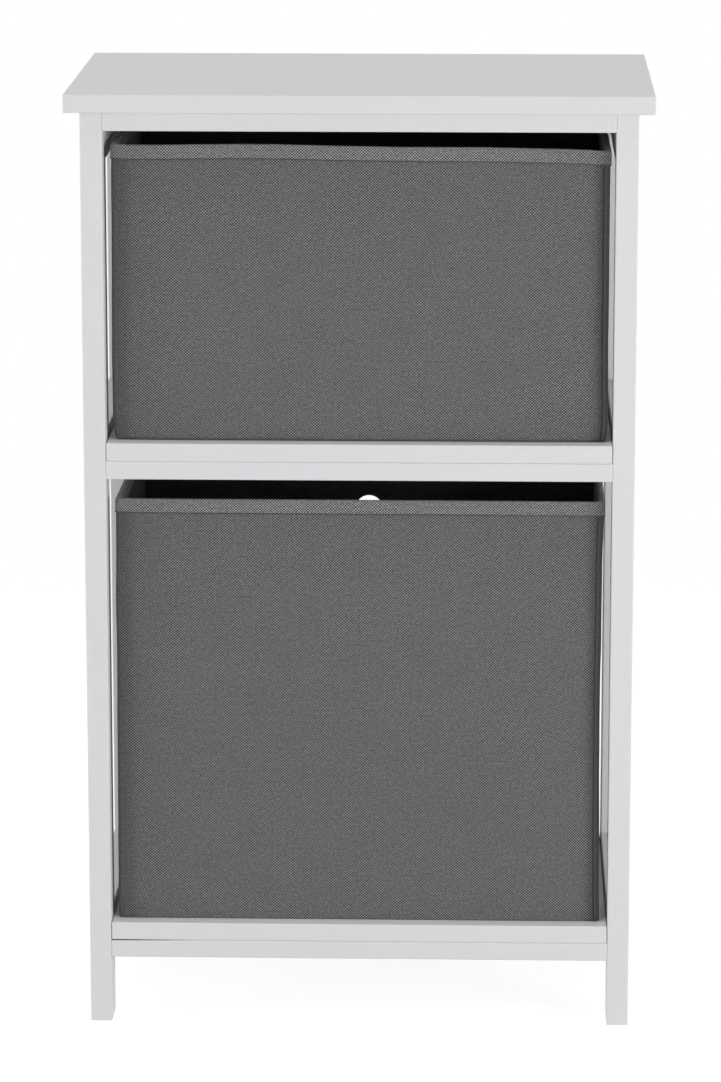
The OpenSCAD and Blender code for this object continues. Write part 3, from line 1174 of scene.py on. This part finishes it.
        # A face that crosses the start of the outline is kept in one piece
        round_it = self.girth(x, y)
        furthest = np.full(len(counts), -np.inf)
        np.maximum.at(furthest, face_of, round_it)
        wraps = (furthest[face_of] - round_it) > self.whole_girth / 2
        round_it = round_it + wraps * self.whole_girth

        facing = np.abs(read(mesh.polygons, "normal", 3)[face_of][:, 2])
        inside = np.abs(x) < self.half_w - self.BASE_ZONE
        inside = inside & (np.abs(y) < self.half_d - self.BASE_ZONE)
        flat = (facing > self.LEVEL_FACING) & inside
        lay = np.stack([np.where(flat, x, round_it), np.where(flat, y, z)], axis=1)
        layer.data.foreach_set("uv", lay.astype(np.float32).ravel())


class Stitching:
    """Rows of stitches, each a copy of one stitch of thread."""

    LENGTH = 1.85 * MM
    RADIUS = 0.30 * MM
    THINNING = 0.45
    SINKING = 0.9

    def __init__(self, name: str) -> None:
        """Starts with no rows.

        Args:
            name: Name of the piece that the rows make.
        """
        self.name = name
        self.rows: list[tuple[np.ndarray, Ply]] = []
        self.one_points, self.one_faces = self.one_stitch()

    @classmethod
    @functools.cache
    def one_stitch(cls) -> tuple[np.ndarray, list[list[int]]]:
        """Models one stitch along X, with its ends drawn down into the cloth.

        Returns:
            Its points and its faces.
        """
        turn = (0, math.pi / 2, 0)
        piece = Workpiece.rod("stitch", (0, 0, 0), cls.RADIUS, cls.LENGTH, turn, 6)
        piece.rule(0, cls.LENGTH / 4)
        points = piece.points
        bend = (points[:, 0] / (cls.LENGTH / 2)) ** 2
        thinner = 1 - cls.THINNING * bend
        points[:, 1] *= thinner
        points[:, 2] = points[:, 2] * thinner - cls.SINKING * cls.RADIUS * bend
        faces = [list(face.vertices) for face in piece.obj.data.polygons]
        bpy.data.objects.remove(piece.obj, do_unlink=True)
        return points, faces

    def row(self, places: np.ndarray, runs: np.ndarray, outward: np.ndarray, ply: Ply) -> None:
        """Lays stitches.

        Args:
            places: Middle of each stitch on the cloth.
            runs: Direction of the seam at each.
            outward: Direction out of the cloth at each.
            ply: Layer that the row lies on.
        """
        runs = runs / np.linalg.norm(runs, axis=1, keepdims=True)
        outward = outward / np.linalg.norm(outward, axis=1, keepdims=True)
        axes = np.stack([runs, np.cross(outward, runs), outward], axis=1)
        self.rows.append((places[:, None, :] + self.one_points @ axes, ply))

    def sew(self, form: BinForm) -> Workpiece:
        """Makes one mesh of all the rows.

        Args:
            form: The bin whose settled shape the rows follow.

        Returns:
            The piece.
        """
        settled = []
        for row, ply in self.rows:
            middles = row.mean(axis=1)
            settled.append(row + (form.settle(middles, ply) - middles)[:, None, :])
        stitches = np.concatenate(settled)
        count, size = stitches.shape[:2]
        faces = [[i + size * n for i in face] for n in range(count) for face in self.one_faces]
        mesh = bpy.data.meshes.new(self.name)
        mesh.from_pydata(stitches.reshape(-1, 3).tolist(), [], faces)
        Workpiece.put_all_down()
        obj = put_in_scene(self.name, mesh)
        bpy.context.view_layer.objects.active = obj
        obj.select_set(True)
        piece = Workpiece(self.name)
        piece.smooth(60)
        return piece


@dataclass
class FabricBin:
    """Sewn bin: cover and lining over stiffening cards, a bound rim and a loose base board."""

    name: str
    settling: Settling
    pitch: float = 4.2 * MM
    cloth: float = 0.9 * MM
    tape: float = 0.8 * MM
    hole_radius: float = 12.5 * MM
    hole_drop: float = 61 * MM
    form: BinForm = field(init=False)
    hole: Vector = field(init=False)

    HAIR = 1e-5
    FACING = 0.9
    CORNER_STEPS, EDGE_STEPS, BOARD_STEPS, ROUND_SIDES = 6, 3, 5, 48

    # Shape of the cloths, the rim and the cards
    UNDER_RIM, BESIDE_SEAM = 2 * MM, 0.9 * MM
    BASE_ROUND, LEAST_CORNER = 0.5 * MM, 2 * MM
    RIM_STANDOFF, RIM_ROUND, RIM_CORNER_LESS = 1.8 * MM, 1.7 * MM, 0.4 * MM
    CARD_PITCH, BORE_LENGTH = 8 * MM, 30 * MM

    # Shape of the base board, and of the cloth turned through the finger hole
    BOARD_CORNER, BOARD_EDGE, BOARD_PITCH = 3 * MM, 1.2 * MM, 6 * MM
    BOARD_PUFF, PUFFS = 0.25 * MM, (14.0, 14.0, 1.0)
    TURNED_EDGE, EDGE_SINK, EDGE_PROUD = 2.6 * MM, 0.5 * MM, 0.5 * MM
    EDGE_ROUND, EDGE_CLOTH = 0.7 * MM, 0.4 * MM

    # Lengths by which an edge that runs round the rim is told
    LONG_WAY, SAME_REACH, CORNER_STEP = 50 * MM, 3 * MM, 2.2 * MM

    # Spacing of the stitches, and how they stand to the cloth
    HEM_STITCH, SEAM_STITCH, HOLE_STITCHES = 2.46 * MM, 2.5 * MM, 36
    OVER_HEM, OVER_COVER, OVER_EDGE, LOST_SINK = 0.10 * MM, 0.05 * MM, 0.45 * MM, 0.5 * MM
    ABOVE_BASE, UNDER_HEM, ROUND_HOLE = 4 * MM, 1 * MM, 1.4 * MM

    def __post_init__(self) -> None:
        """Reads the bin's outline and the place of its finger hole from the frame."""
        self.form = BinForm(self.name, self.settling)
        self.hole = (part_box(f"{self.name}_rear_card")[0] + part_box(f"{self.name}_rear_card")[1]) / 2
        self.hole.z = self.form.rim - self.hole_drop

    @property
    def rim_inset(self) -> float:
        """How far the inner side of the hem lies inside its outer side."""
        return self.form.inset_of(f"{self.name}_lining") + self.RIM_STANDOFF

    @staticmethod
    def is_upright(a: Vector, b: Vector) -> bool:
        """Tells whether an edge of a block is upright."""
        return abs(a.z - b.z) > MM

    def across_depth(
        self, name: str, centre: Sequence[float], radius: float, length: float
    ) -> Workpiece:
        """Adds a round rod that lies along Y."""
        turn = (math.pi / 2, 0, 0)
        return Workpiece.rod(name, centre, radius, length, turn, self.ROUND_SIDES)

    def bore_hole(self, piece: Workpiece) -> None:
        """Cuts the finger hole."""
        piece.bore(self.across_depth("cutter", self.hole, self.hole_radius, self.BORE_LENGTH))

    def shell(self, name: str, node: str) -> Workpiece:
        """Models an open cloth box with round corners, and its finger hole.

        Args:
            name: Name of the piece.
            node: CAD node that it stands for.

        Returns:
            The piece, still true.
        """
        form = self.form
        low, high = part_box(node)
        top = form.rim - self.UNDER_RIM
        corner = max(form.CORNER - form.inset_of(node), self.LEAST_CORNER)
        piece = Workpiece.block(name, low, (high.x, high.y, top))
        piece.bevel(self.is_upright, corner, self.CORNER_STEPS)
        foot = low.z + self.HAIR
        piece.bevel(lambda a, b: max(a.z, b.z) < foot, self.BASE_ROUND, self.EDGE_STEPS)
        piece.cut_away(lambda centre, normal: normal.z > self.FACING)
        for axis, half in enumerate((form.half_w, form.half_d)):
            for inwards in (form.SEAM - self.BESIDE_SEAM, form.SEAM, form.SEAM + self.BESIDE_SEAM):
                for side in (-1, 1):
                    piece.slice(axis, side * (half - inwards))
        for axis in range(3):
            piece.rule(axis, self.pitch)
        piece.finish_with("SOLIDIFY", thickness=self.cloth, offset=-1.0)
        self.bore_hole(piece)
        return piece

    def complete(
        self, piece: Workpiece, ply: Ply, finish: Finish, nodes: Sequence[str]
    ) -> None:
        """Maps, settles and dresses a piece, and puts it in the place of its nodes.

        Args:
            piece: The true piece.
            ply: Layer of the wall that it belongs to.
            finish: Its finish.
            nodes: CAD nodes that it stands for.
        """
        self.form.map_cloth(piece)
        self.form.mark_seams(piece, ply)
        piece.points = self.form.settle(piece.points, ply)
        piece.smooth()
        self.hand_over(piece, finish, nodes)

    def hand_over(
        self, piece: Workpiece, finish: Finish, nodes: Sequence[str]
    ) -> None:
        """Dresses a finished piece and puts it in the place of its nodes.

        Args:
            piece: The finished piece.
            finish: Its finish.
            nodes: CAD nodes that it stands for.
        """
        dress(piece.obj, finish.material())
        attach(piece.obj, self.name)
        if nodes:
            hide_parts(*nodes)
        LOG.info("%s: %d faces", piece.obj.name, len(piece.obj.data.polygons))

    def build_cloths(self) -> None:
        """Models the outer and the inner cloth."""
        for layer, ply, finish, slot in (
            ("cover", Ply.OUTSIDE, OUTER_CLOTH, "bin_fabric"),
            ("lining", Ply.INSIDE, INNER_CLOTH, "bin_lining"),
        ):
            node = f"{self.name}_{layer}"
            piece = self.shell(f"{self.name}_sewn_{layer}", node)
            self.complete(piece, ply, finish, [node])

    def build_rim(self) -> None:
        """Models the tape folded over the rim."""
        form = self.form
        rim, low = form.rim, form.rim - form.hem_h
        w, d = form.half_w, form.half_d
        inner = self.rim_inset
        piece = Workpiece.block(f"{self.name}_bound_rim", (-w, -d, low), (w, d, rim))
        piece.bevel(self.is_upright, form.CORNER - self.RIM_CORNER_LESS, self.CORNER_STEPS)
        piece.cut_away(lambda centre, normal: abs(normal.z) > self.FACING)
        at_top = rim - self.HAIR
        piece.pick_edges(lambda a, b: min(a.z, b.z) > at_top)
        piece.extrude()
        bpy.ops.transform.resize(value=((w - inner) / w, (d - inner) / d, 1))
        piece.extrude((0, 0, low - rim))
        piece.leave_edit()
        piece.bevel(
            lambda a, b: min(a.z, b.z) > at_top and self.runs_round(a, b),
            self.RIM_ROUND,
            self.EDGE_STEPS,
        )
        for axis in range(2):
            piece.rule(axis, self.pitch)
        piece.finish_with("SOLIDIFY", thickness=self.tape, offset=-1.0)
        self.complete(piece, Ply.CORE, HEM_CLOTH, [f"{self.name}_hem"])

    def runs_round(self, a: Vector, b: Vector) -> bool:
        """Tells an edge of the rim that runs round the bin from one across the fold.

        Args:
            a: One end of the edge.
            b: The other end.

        Returns:
            Whether it runs round the bin.
        """
        length = (a - b).length
        if length > self.LONG_WAY:
            return True
        form = self.form
        reach = [max(abs(p.x) - form.half_w, abs(p.y) - form.half_d) for p in (a, b)]
        oblique = abs(abs(a.x) - abs(b.x)) > self.HAIR and abs(abs(a.y) - abs(b.y)) > self.HAIR
        level = abs(reach[0] - reach[1]) < self.SAME_REACH
        return level and oblique and length < self.CORNER_STEP

    def build_cards(self) -> None:
        """Models the stiffening cards, which settle with the cloth."""
        top = self.form.rim - self.UNDER_RIM
        for side in ("front", "rear", "left", "right"):
            node = f"{self.name}_{side}_card"
            low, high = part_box(node)
            piece = Workpiece.block(f"{self.name}_{side}_stiffener", low, (high.x, high.y, top))
            piece.rule(0 if side in ("front", "rear") else 1, self.CARD_PITCH)
            piece.rule(2, self.CARD_PITCH)
            if side == "rear":
                self.bore_hole(piece)
            piece.points = self.form.settle(piece.points, Ply.CORE)
            self.hand_over(piece, CARD, [node])

    def build_base_board(self) -> None:
        """Models the loose board in its cloth wrapper."""
        node = f"{self.name}_base_board"
        low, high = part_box(node)
        piece = Workpiece.block(f"{self.name}_wrapped_base_board", low, high)
        piece.bevel(self.is_upright, self.BOARD_CORNER, self.BOARD_STEPS)
        piece.bevel(lambda a, b: abs(a.z - b.z) < self.HAIR, self.BOARD_EDGE, self.EDGE_STEPS)
        for axis in range(2):
            piece.rule(axis, self.BOARD_PITCH)
        points = piece.points
        puff = self.BOARD_PUFF * np.clip(ripple(points, self.PUFFS, self.settling.seed), 0, 1)
        points[:, 2] += puff * (points[:, 2] > high.z - 1 * MM)
        self.form.map_cloth(piece)
        self.form.mark_seams(piece, Ply.INSIDE)
        points[:, 0] += self.settling.aside * MM
        piece.points = points
        piece.smooth()
        self.hand_over(piece, INNER_CLOTH, [node])

    def build_hole_edge(self) -> None:
        """Models the cloth turned through the finger hole, over the cut edges."""
        low_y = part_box(f"{self.name}_lining")[1].y - self.cloth
        high_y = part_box(f"{self.name}_cover")[1].y
        centre = Vector((0, (low_y + high_y) / 2, self.hole.z))
        length = high_y - low_y + self.EDGE_PROUD
        radius = self.hole_radius - self.EDGE_SINK
        piece = self.across_depth(f"{self.name}_finger_hole_edge", centre, radius, length)
        piece.cut_away(lambda middle, normal: abs(normal.y) > self.FACING)
        scale = (self.hole_radius + self.TURNED_EDGE) / radius
        for end in (low_y, high_y):
            piece.pick_edges(lambda a, b: abs(a.y - b.y) < self.HAIR and abs(a.y - end) < MM)
            piece.extrude()
            bpy.ops.transform.resize(value=(scale, 1, scale))
            piece.leave_edit()
        piece.bevel(self.is_hole_edge, self.EDGE_ROUND, self.EDGE_STEPS)
        piece.pick_faces(lambda middle, normal: True)
        bpy.ops.mesh.normals_make_consistent(inside=False)
        piece.leave_edit()
        piece.finish_with("SOLIDIFY", thickness=self.EDGE_CLOTH, offset=0.0)
        self.complete(piece, Ply.CORE, HEM_CLOTH, [])

    def is_hole_edge(self, a: Vector, b: Vector) -> bool:
        """Tests whether an edge lies where the turned cloth comes out of the finger hole.

        Args:
            a: One end of the edge.
            b: The other end.

        Returns:
            Whether it lies there.
        """
        radius = self.hole_radius - self.EDGE_SINK
        off = [abs(math.hypot(p.x, p.z - self.hole.z) - radius) for p in (a, b)]
        return max(off) < 0.1 * MM and abs(a.y - b.y) < self.HAIR

    def build_stitching(self) -> None:
        """Sews the rim, the corner seams and the finger hole."""
        stitching = Stitching(f"{self.name}_stitching")
        self.sew_rim(stitching)
        self.sew_corners(stitching)
        self.sew_hole(stitching)
        self.hand_over(stitching.sew(self.form), THREAD, [])

    def sew_rim(self, stitching: Stitching) -> None:
        """Sews both sides of the hem, all the way round.

        Args:
            stitching: The rows to add to.
        """
        for inset, facing in ((0.0, 1.0), (self.rim_inset, -1.0)):
            places, outward = self.form.outline(inset, self.HEM_STITCH)
            level, none = np.full(len(places), self.form.hem_seam), np.zeros(len(places))
            places = np.column_stack([places + outward * facing * self.OVER_HEM, level])
            normals = np.column_stack([outward * facing, none])
            runs = np.column_stack([-outward[:, 1], outward[:, 0], none])
            stitching.row(places, runs, normals, Ply.CORE)

    def sew_corners(self, stitching: Stitching) -> None:
        """Sews the two seams beside each upright corner.

        Args:
            stitching: The rows to add to.
        """
        form = self.form
        cover = form.inset_of(f"{self.name}_cover") - self.OVER_COVER
        top = form.rim - form.hem_h - self.UNDER_HEM
        heights = np.arange(form.floor + self.ABOVE_BASE, top, self.SEAM_STITCH)
        for side in (-1.0, 1.0):
            for end in (-1.0, 1.0):
                on_end = (side * (form.half_w - form.SEAM), end * (form.half_d - cover), 0.0)
                on_side = (side * (form.half_w - cover), end * (form.half_d - form.SEAM), 0.0)
                for place, normal in ((on_end, (0.0, end, 0.0)), (on_side, (side, 0.0, 0.0))):
                    places = np.tile(place, (len(heights), 1))
                    places[:, 2] = heights
                    if form.seam_is_lost(places).all():
                        places -= np.asarray(normal) * self.LOST_SINK
                    runs, normals = (
                        np.tile(row, (len(heights), 1)) for row in ((0.0, 0.0, 1.0), normal)
                    )
                    stitching.row(places, runs, normals, Ply.OUTSIDE)

    def sew_hole(self, stitching: Stitching) -> None:
        """Sews a ring on both sides of the finger hole.

        Args:
            stitching: The rows to add to.
        """
        count = self.HOLE_STITCHES
        turns = np.arange(count) / count * math.tau
        ring = self.hole_radius + self.ROUND_HOLE
        x, z = ring * np.cos(turns), self.hole.z + ring * np.sin(turns)
        runs = np.column_stack([-np.sin(turns), np.zeros(count), np.cos(turns)])
        for y, facing in (
            (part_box(f"{self.name}_cover")[1].y + self.OVER_EDGE, 1.0),
            (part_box(f"{self.name}_lining")[1].y - self.cloth - self.OVER_EDGE, -1.0),
        ):
            places = np.column_stack([x, np.full(count, y), z])
            stitching.row(places, runs, np.tile([0.0, facing, 0.0], (count, 1)), Ply.CORE)

    def build(self) -> None:
        """Builds the whole bin."""
        self.build_cloths()
        self.build_rim()
        self.build_cards()
        self.build_base_board()
        self.build_hole_edge()
        self.build_stitching()


# ---- Frame ----


@dataclass
class TimberFrame:
    """Painted legs, rails, shelves and top board with their fittings."""

    nodes: Mapping[str, bpy.types.Object]
    joint_height: float = field(init=False)

    BARE_END = -0.11

    def __post_init__(self) -> None:
        """Finds the joint under the bottom shelf."""
        self.joint_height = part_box("bottom_shelf")[0].z

    def finish_for(self, name: str) -> Finish | None:
        """Chooses a finish.

        Args:
            name: Name of a node of the frame.

        Returns:
            Its finish, or None for a node of a bin.
        """
        if "bin" in name:
            return None
        if name.endswith("_dowels"):
            return DOWEL_WOOD
        if name.endswith("_screws"):
            return SCREW_PLATE
        if name in ("rail_bolts", "rail_cross_nuts"):
            return BOLT_PLATE
        if name.endswith("_leg"):
            return PaintedTimber("white_paint_legs", Grain.UPRIGHT)
        if name.endswith("_side_rail"):
            return PaintedTimber("white_paint_side_rails", Grain.FRONT_TO_BACK)
        joint = (self.joint_height, self.BARE_END)
        return PaintedTimber("white_paint_boards", Grain.ACROSS_FRONT, open_joint=joint)

    def build(self) -> None:
        """Dresses every node of the frame."""
        for name, node in self.nodes.items():
            finish = self.finish_for(name)
            if finish:
                dress(node, finish.material())
                LOG.info("%s: %s", name, finish.name)


# ---- Studio ----


@dataclass(frozen=True)
class Lamp:
    """Soft box aimed at the middle of the tower. Its angles are in degrees, its power in watts."""

    name: str
    azimuth: float
    elevation: float
    size: tuple[float, float]
    power: float
    colour: Colour = WHITE


@dataclass
class Studio:
    """Camera, floor, backdrop and lamps round the tower."""

    camera_place: tuple[float, float, float] = (0.108, -3.815, 1.226)
    yaw: float = -1.665
    pitch: float = 12.475
    lens: float = 152.8
    middle: tuple[float, float, float] = (0.0, 0.0, 0.40)
    lamp_distance: float = 3.2
    lamps: tuple[Lamp, ...] = (
        Lamp("left_soft_box", -75.0, 4.0, (1.2, 1.6), 45.4),
        Lamp("left_front_soft_box", -52.0, 2.0, (1.2, 1.6), 9.1),
        Lamp("right_front_soft_box", 50.0, 2.0, (1.2, 1.6), 54.5),
        Lamp("right_soft_box", 75.0, 4.0, (1.2, 1.6), 14.2),
        Lamp("high_left_soft_box", -30.0, 36.0, (1.0, 1.0), 7.0),
        Lamp("top_soft_box", 0.0, 80.0, (1.4, 1.0), 21.6, (1.0, 0.985, 1.02)),
        Lamp("rear_left_soft_box", -140.0, 24.0, (1.6, 1.6), 12.0),
        Lamp("rear_right_soft_box", 140.0, 24.0, (1.6, 1.6), 12.0),
    )
    ambient: float = 0.30
    ambient_colour: Colour = (0.99, 0.975, 1.01)
    floor_size: float = 16.0
    floor_drop: float = 0.5 * MM

    SENSOR, CLIP = 36.0, (0.05, 100.0)
    FLOOR_LOW, FLOOR_HIGH, FLOOR_GRAIN = 0.80, 0.84, 40.0

    # Where it is seen, the floor's white is part shaded and part lit, and all lit further away
    SHADED, LIT, LIT_FROM, LIT_BY = 0.34, 0.86, 0.6, 1.6

    @staticmethod
    def direction(azimuth: float, elevation: float) -> Vector:
        """Returns the direction towards a place seen from the tower, 0 being the front."""
        a, e = math.radians(azimuth), math.radians(elevation)
        return Vector((math.sin(a) * math.cos(e), -math.cos(a) * math.cos(e), math.sin(e)))

    @staticmethod
    def stand(name: str, data: Any, place: Sequence[float], look: Vector) -> bpy.types.Object:
        """Puts up a camera or a lamp.

        Args:
            name: Its name.
            data: The camera or lamp.
            place: Where it stands.
            look: Direction in which it looks.

        Returns:
            The object.
        """
        obj = put_in_scene(name, data)
        obj.location = place
        obj.rotation_mode = "QUATERNION"
        obj.rotation_quaternion = look.to_track_quat("-Z", "Y")
        return obj

    def build_camera(self) -> None:
        """Places the camera where the photograph was taken from."""
        camera = bpy.data.cameras.new("camera")
        camera.lens = self.lens
        camera.sensor_width = self.SENSOR
        camera.clip_start, camera.clip_end = self.CLIP
        look = self.direction(180.0 - self.yaw, -self.pitch)
        bpy.context.scene.camera = self.stand("camera", camera, self.camera_place, look)

    def build_lamps(self) -> None:
        """Hangs the soft boxes."""
        for lamp in self.lamps:
            light = bpy.data.lights.new(lamp.name, "AREA")
            light.shape = "RECTANGLE"
            light.size, light.size_y = lamp.size
            light.energy = lamp.power
            light.color = lamp.colour
            out = self.direction(lamp.azimuth, lamp.elevation)
            self.stand(lamp.name, light, Vector(self.middle) + out * self.lamp_distance, -out)

    @staticmethod
    def seen(recipe: Recipe) -> Socket:
        """Returns 1 for rays that look at the background, straight or in a reflection."""
        kinds = [
            recipe.node("ShaderNodeLightPath", output=kind)
            for kind in ("Is Camera Ray", "Is Glossy Ray", "Is Transmission Ray")
        ]
        return kinds[0].larger(kinds[1]).larger(kinds[2])

    def build_world(self) -> None:
        """Surrounds the tower with soft light, and with white where it is seen."""
        world = bpy.data.worlds.new("studio")
        bpy.context.scene.world = world
        recipe = Recipe("", world)
        ambient = {"Color": self.ambient_colour, "Strength": self.ambient}
        light = recipe.shader("Background", ambient)
        white = recipe.shader("Background", {"Color": WHITE, "Strength": 1.0})
        recipe.shader("OutputWorld", {"Surface": recipe.mixed(self.seen(recipe), light, white)})

    def build_floor(self) -> None:
        """Lays a pale floor, seen white apart from the tower's shadow, and clear from below."""
        Workpiece.put_all_down()
        place = (0, 0, -self.floor_drop)
        bpy.ops.mesh.primitive_plane_add(size=self.floor_size, location=place)
        floor = Workpiece("studio_floor").obj
        recipe = Recipe("pale_floor")
        place = recipe.object_place()
        grain = recipe.fog(place, self.FLOOR_GRAIN, 3.0)
        low, high = scaled(WHITE, self.FLOOR_LOW), scaled(WHITE, self.FLOOR_HIGH)
        pale = recipe.tint(grain, low, high)
        matt = recipe.shader("BsdfDiffuse", {"Color": pale})
        shade = recipe.shader("BsdfDiffuse", {"Color": scaled(WHITE, self.SHADED)})
        glow = recipe.shader("Emission", {"Color": WHITE, "Strength": self.LIT})
        near = recipe.node("ShaderNodeAddShader", None, {0: shade, 1: glow})
        away = recipe.node("ShaderNodeVectorMath", {"operation": "LENGTH"}, {0: place}, "Value")
        far = recipe.shader("Emission", {"Color": WHITE, "Strength": 1.0})
        white = recipe.mixed(recipe.step(away, self.LIT_FROM, self.LIT_BY), near, far)
        top = recipe.mixed(self.seen(recipe), matt, white)
        under = recipe.shader("BsdfTransparent", {"Color": WHITE})
        below = recipe.node("ShaderNodeNewGeometry", output="Backfacing")
        recipe.shader("OutputMaterial", {"Surface": recipe.mixed(below, top, under)})
        dress(floor, recipe.owner)

    def build(self) -> None:
        """Builds the studio."""
        bpy.context.scene.view_settings.view_transform = "Standard"
        self.build_camera()
        self.build_world()
        self.build_floor()
        self.build_lamps()


def corners(box: Sequence[Vector]) -> list[list[float]]:
    """Returns a box as plain lists of numbers."""
    return [list(corner) for corner in box]


def main() -> None:
    """Loads the frame and builds everything round it."""
    logging.basicConfig(level=logging.INFO, format="%(message)s")
    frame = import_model()
    Studio().build()
    TimberFrame(frame["nodes"]).build()
    for name, settling in (("upper_bin", UPPER_SETTLING), ("lower_bin", LOWER_SETTLING)):
        FabricBin(name, settling).build()


if __name__ == "__main__":
    main()
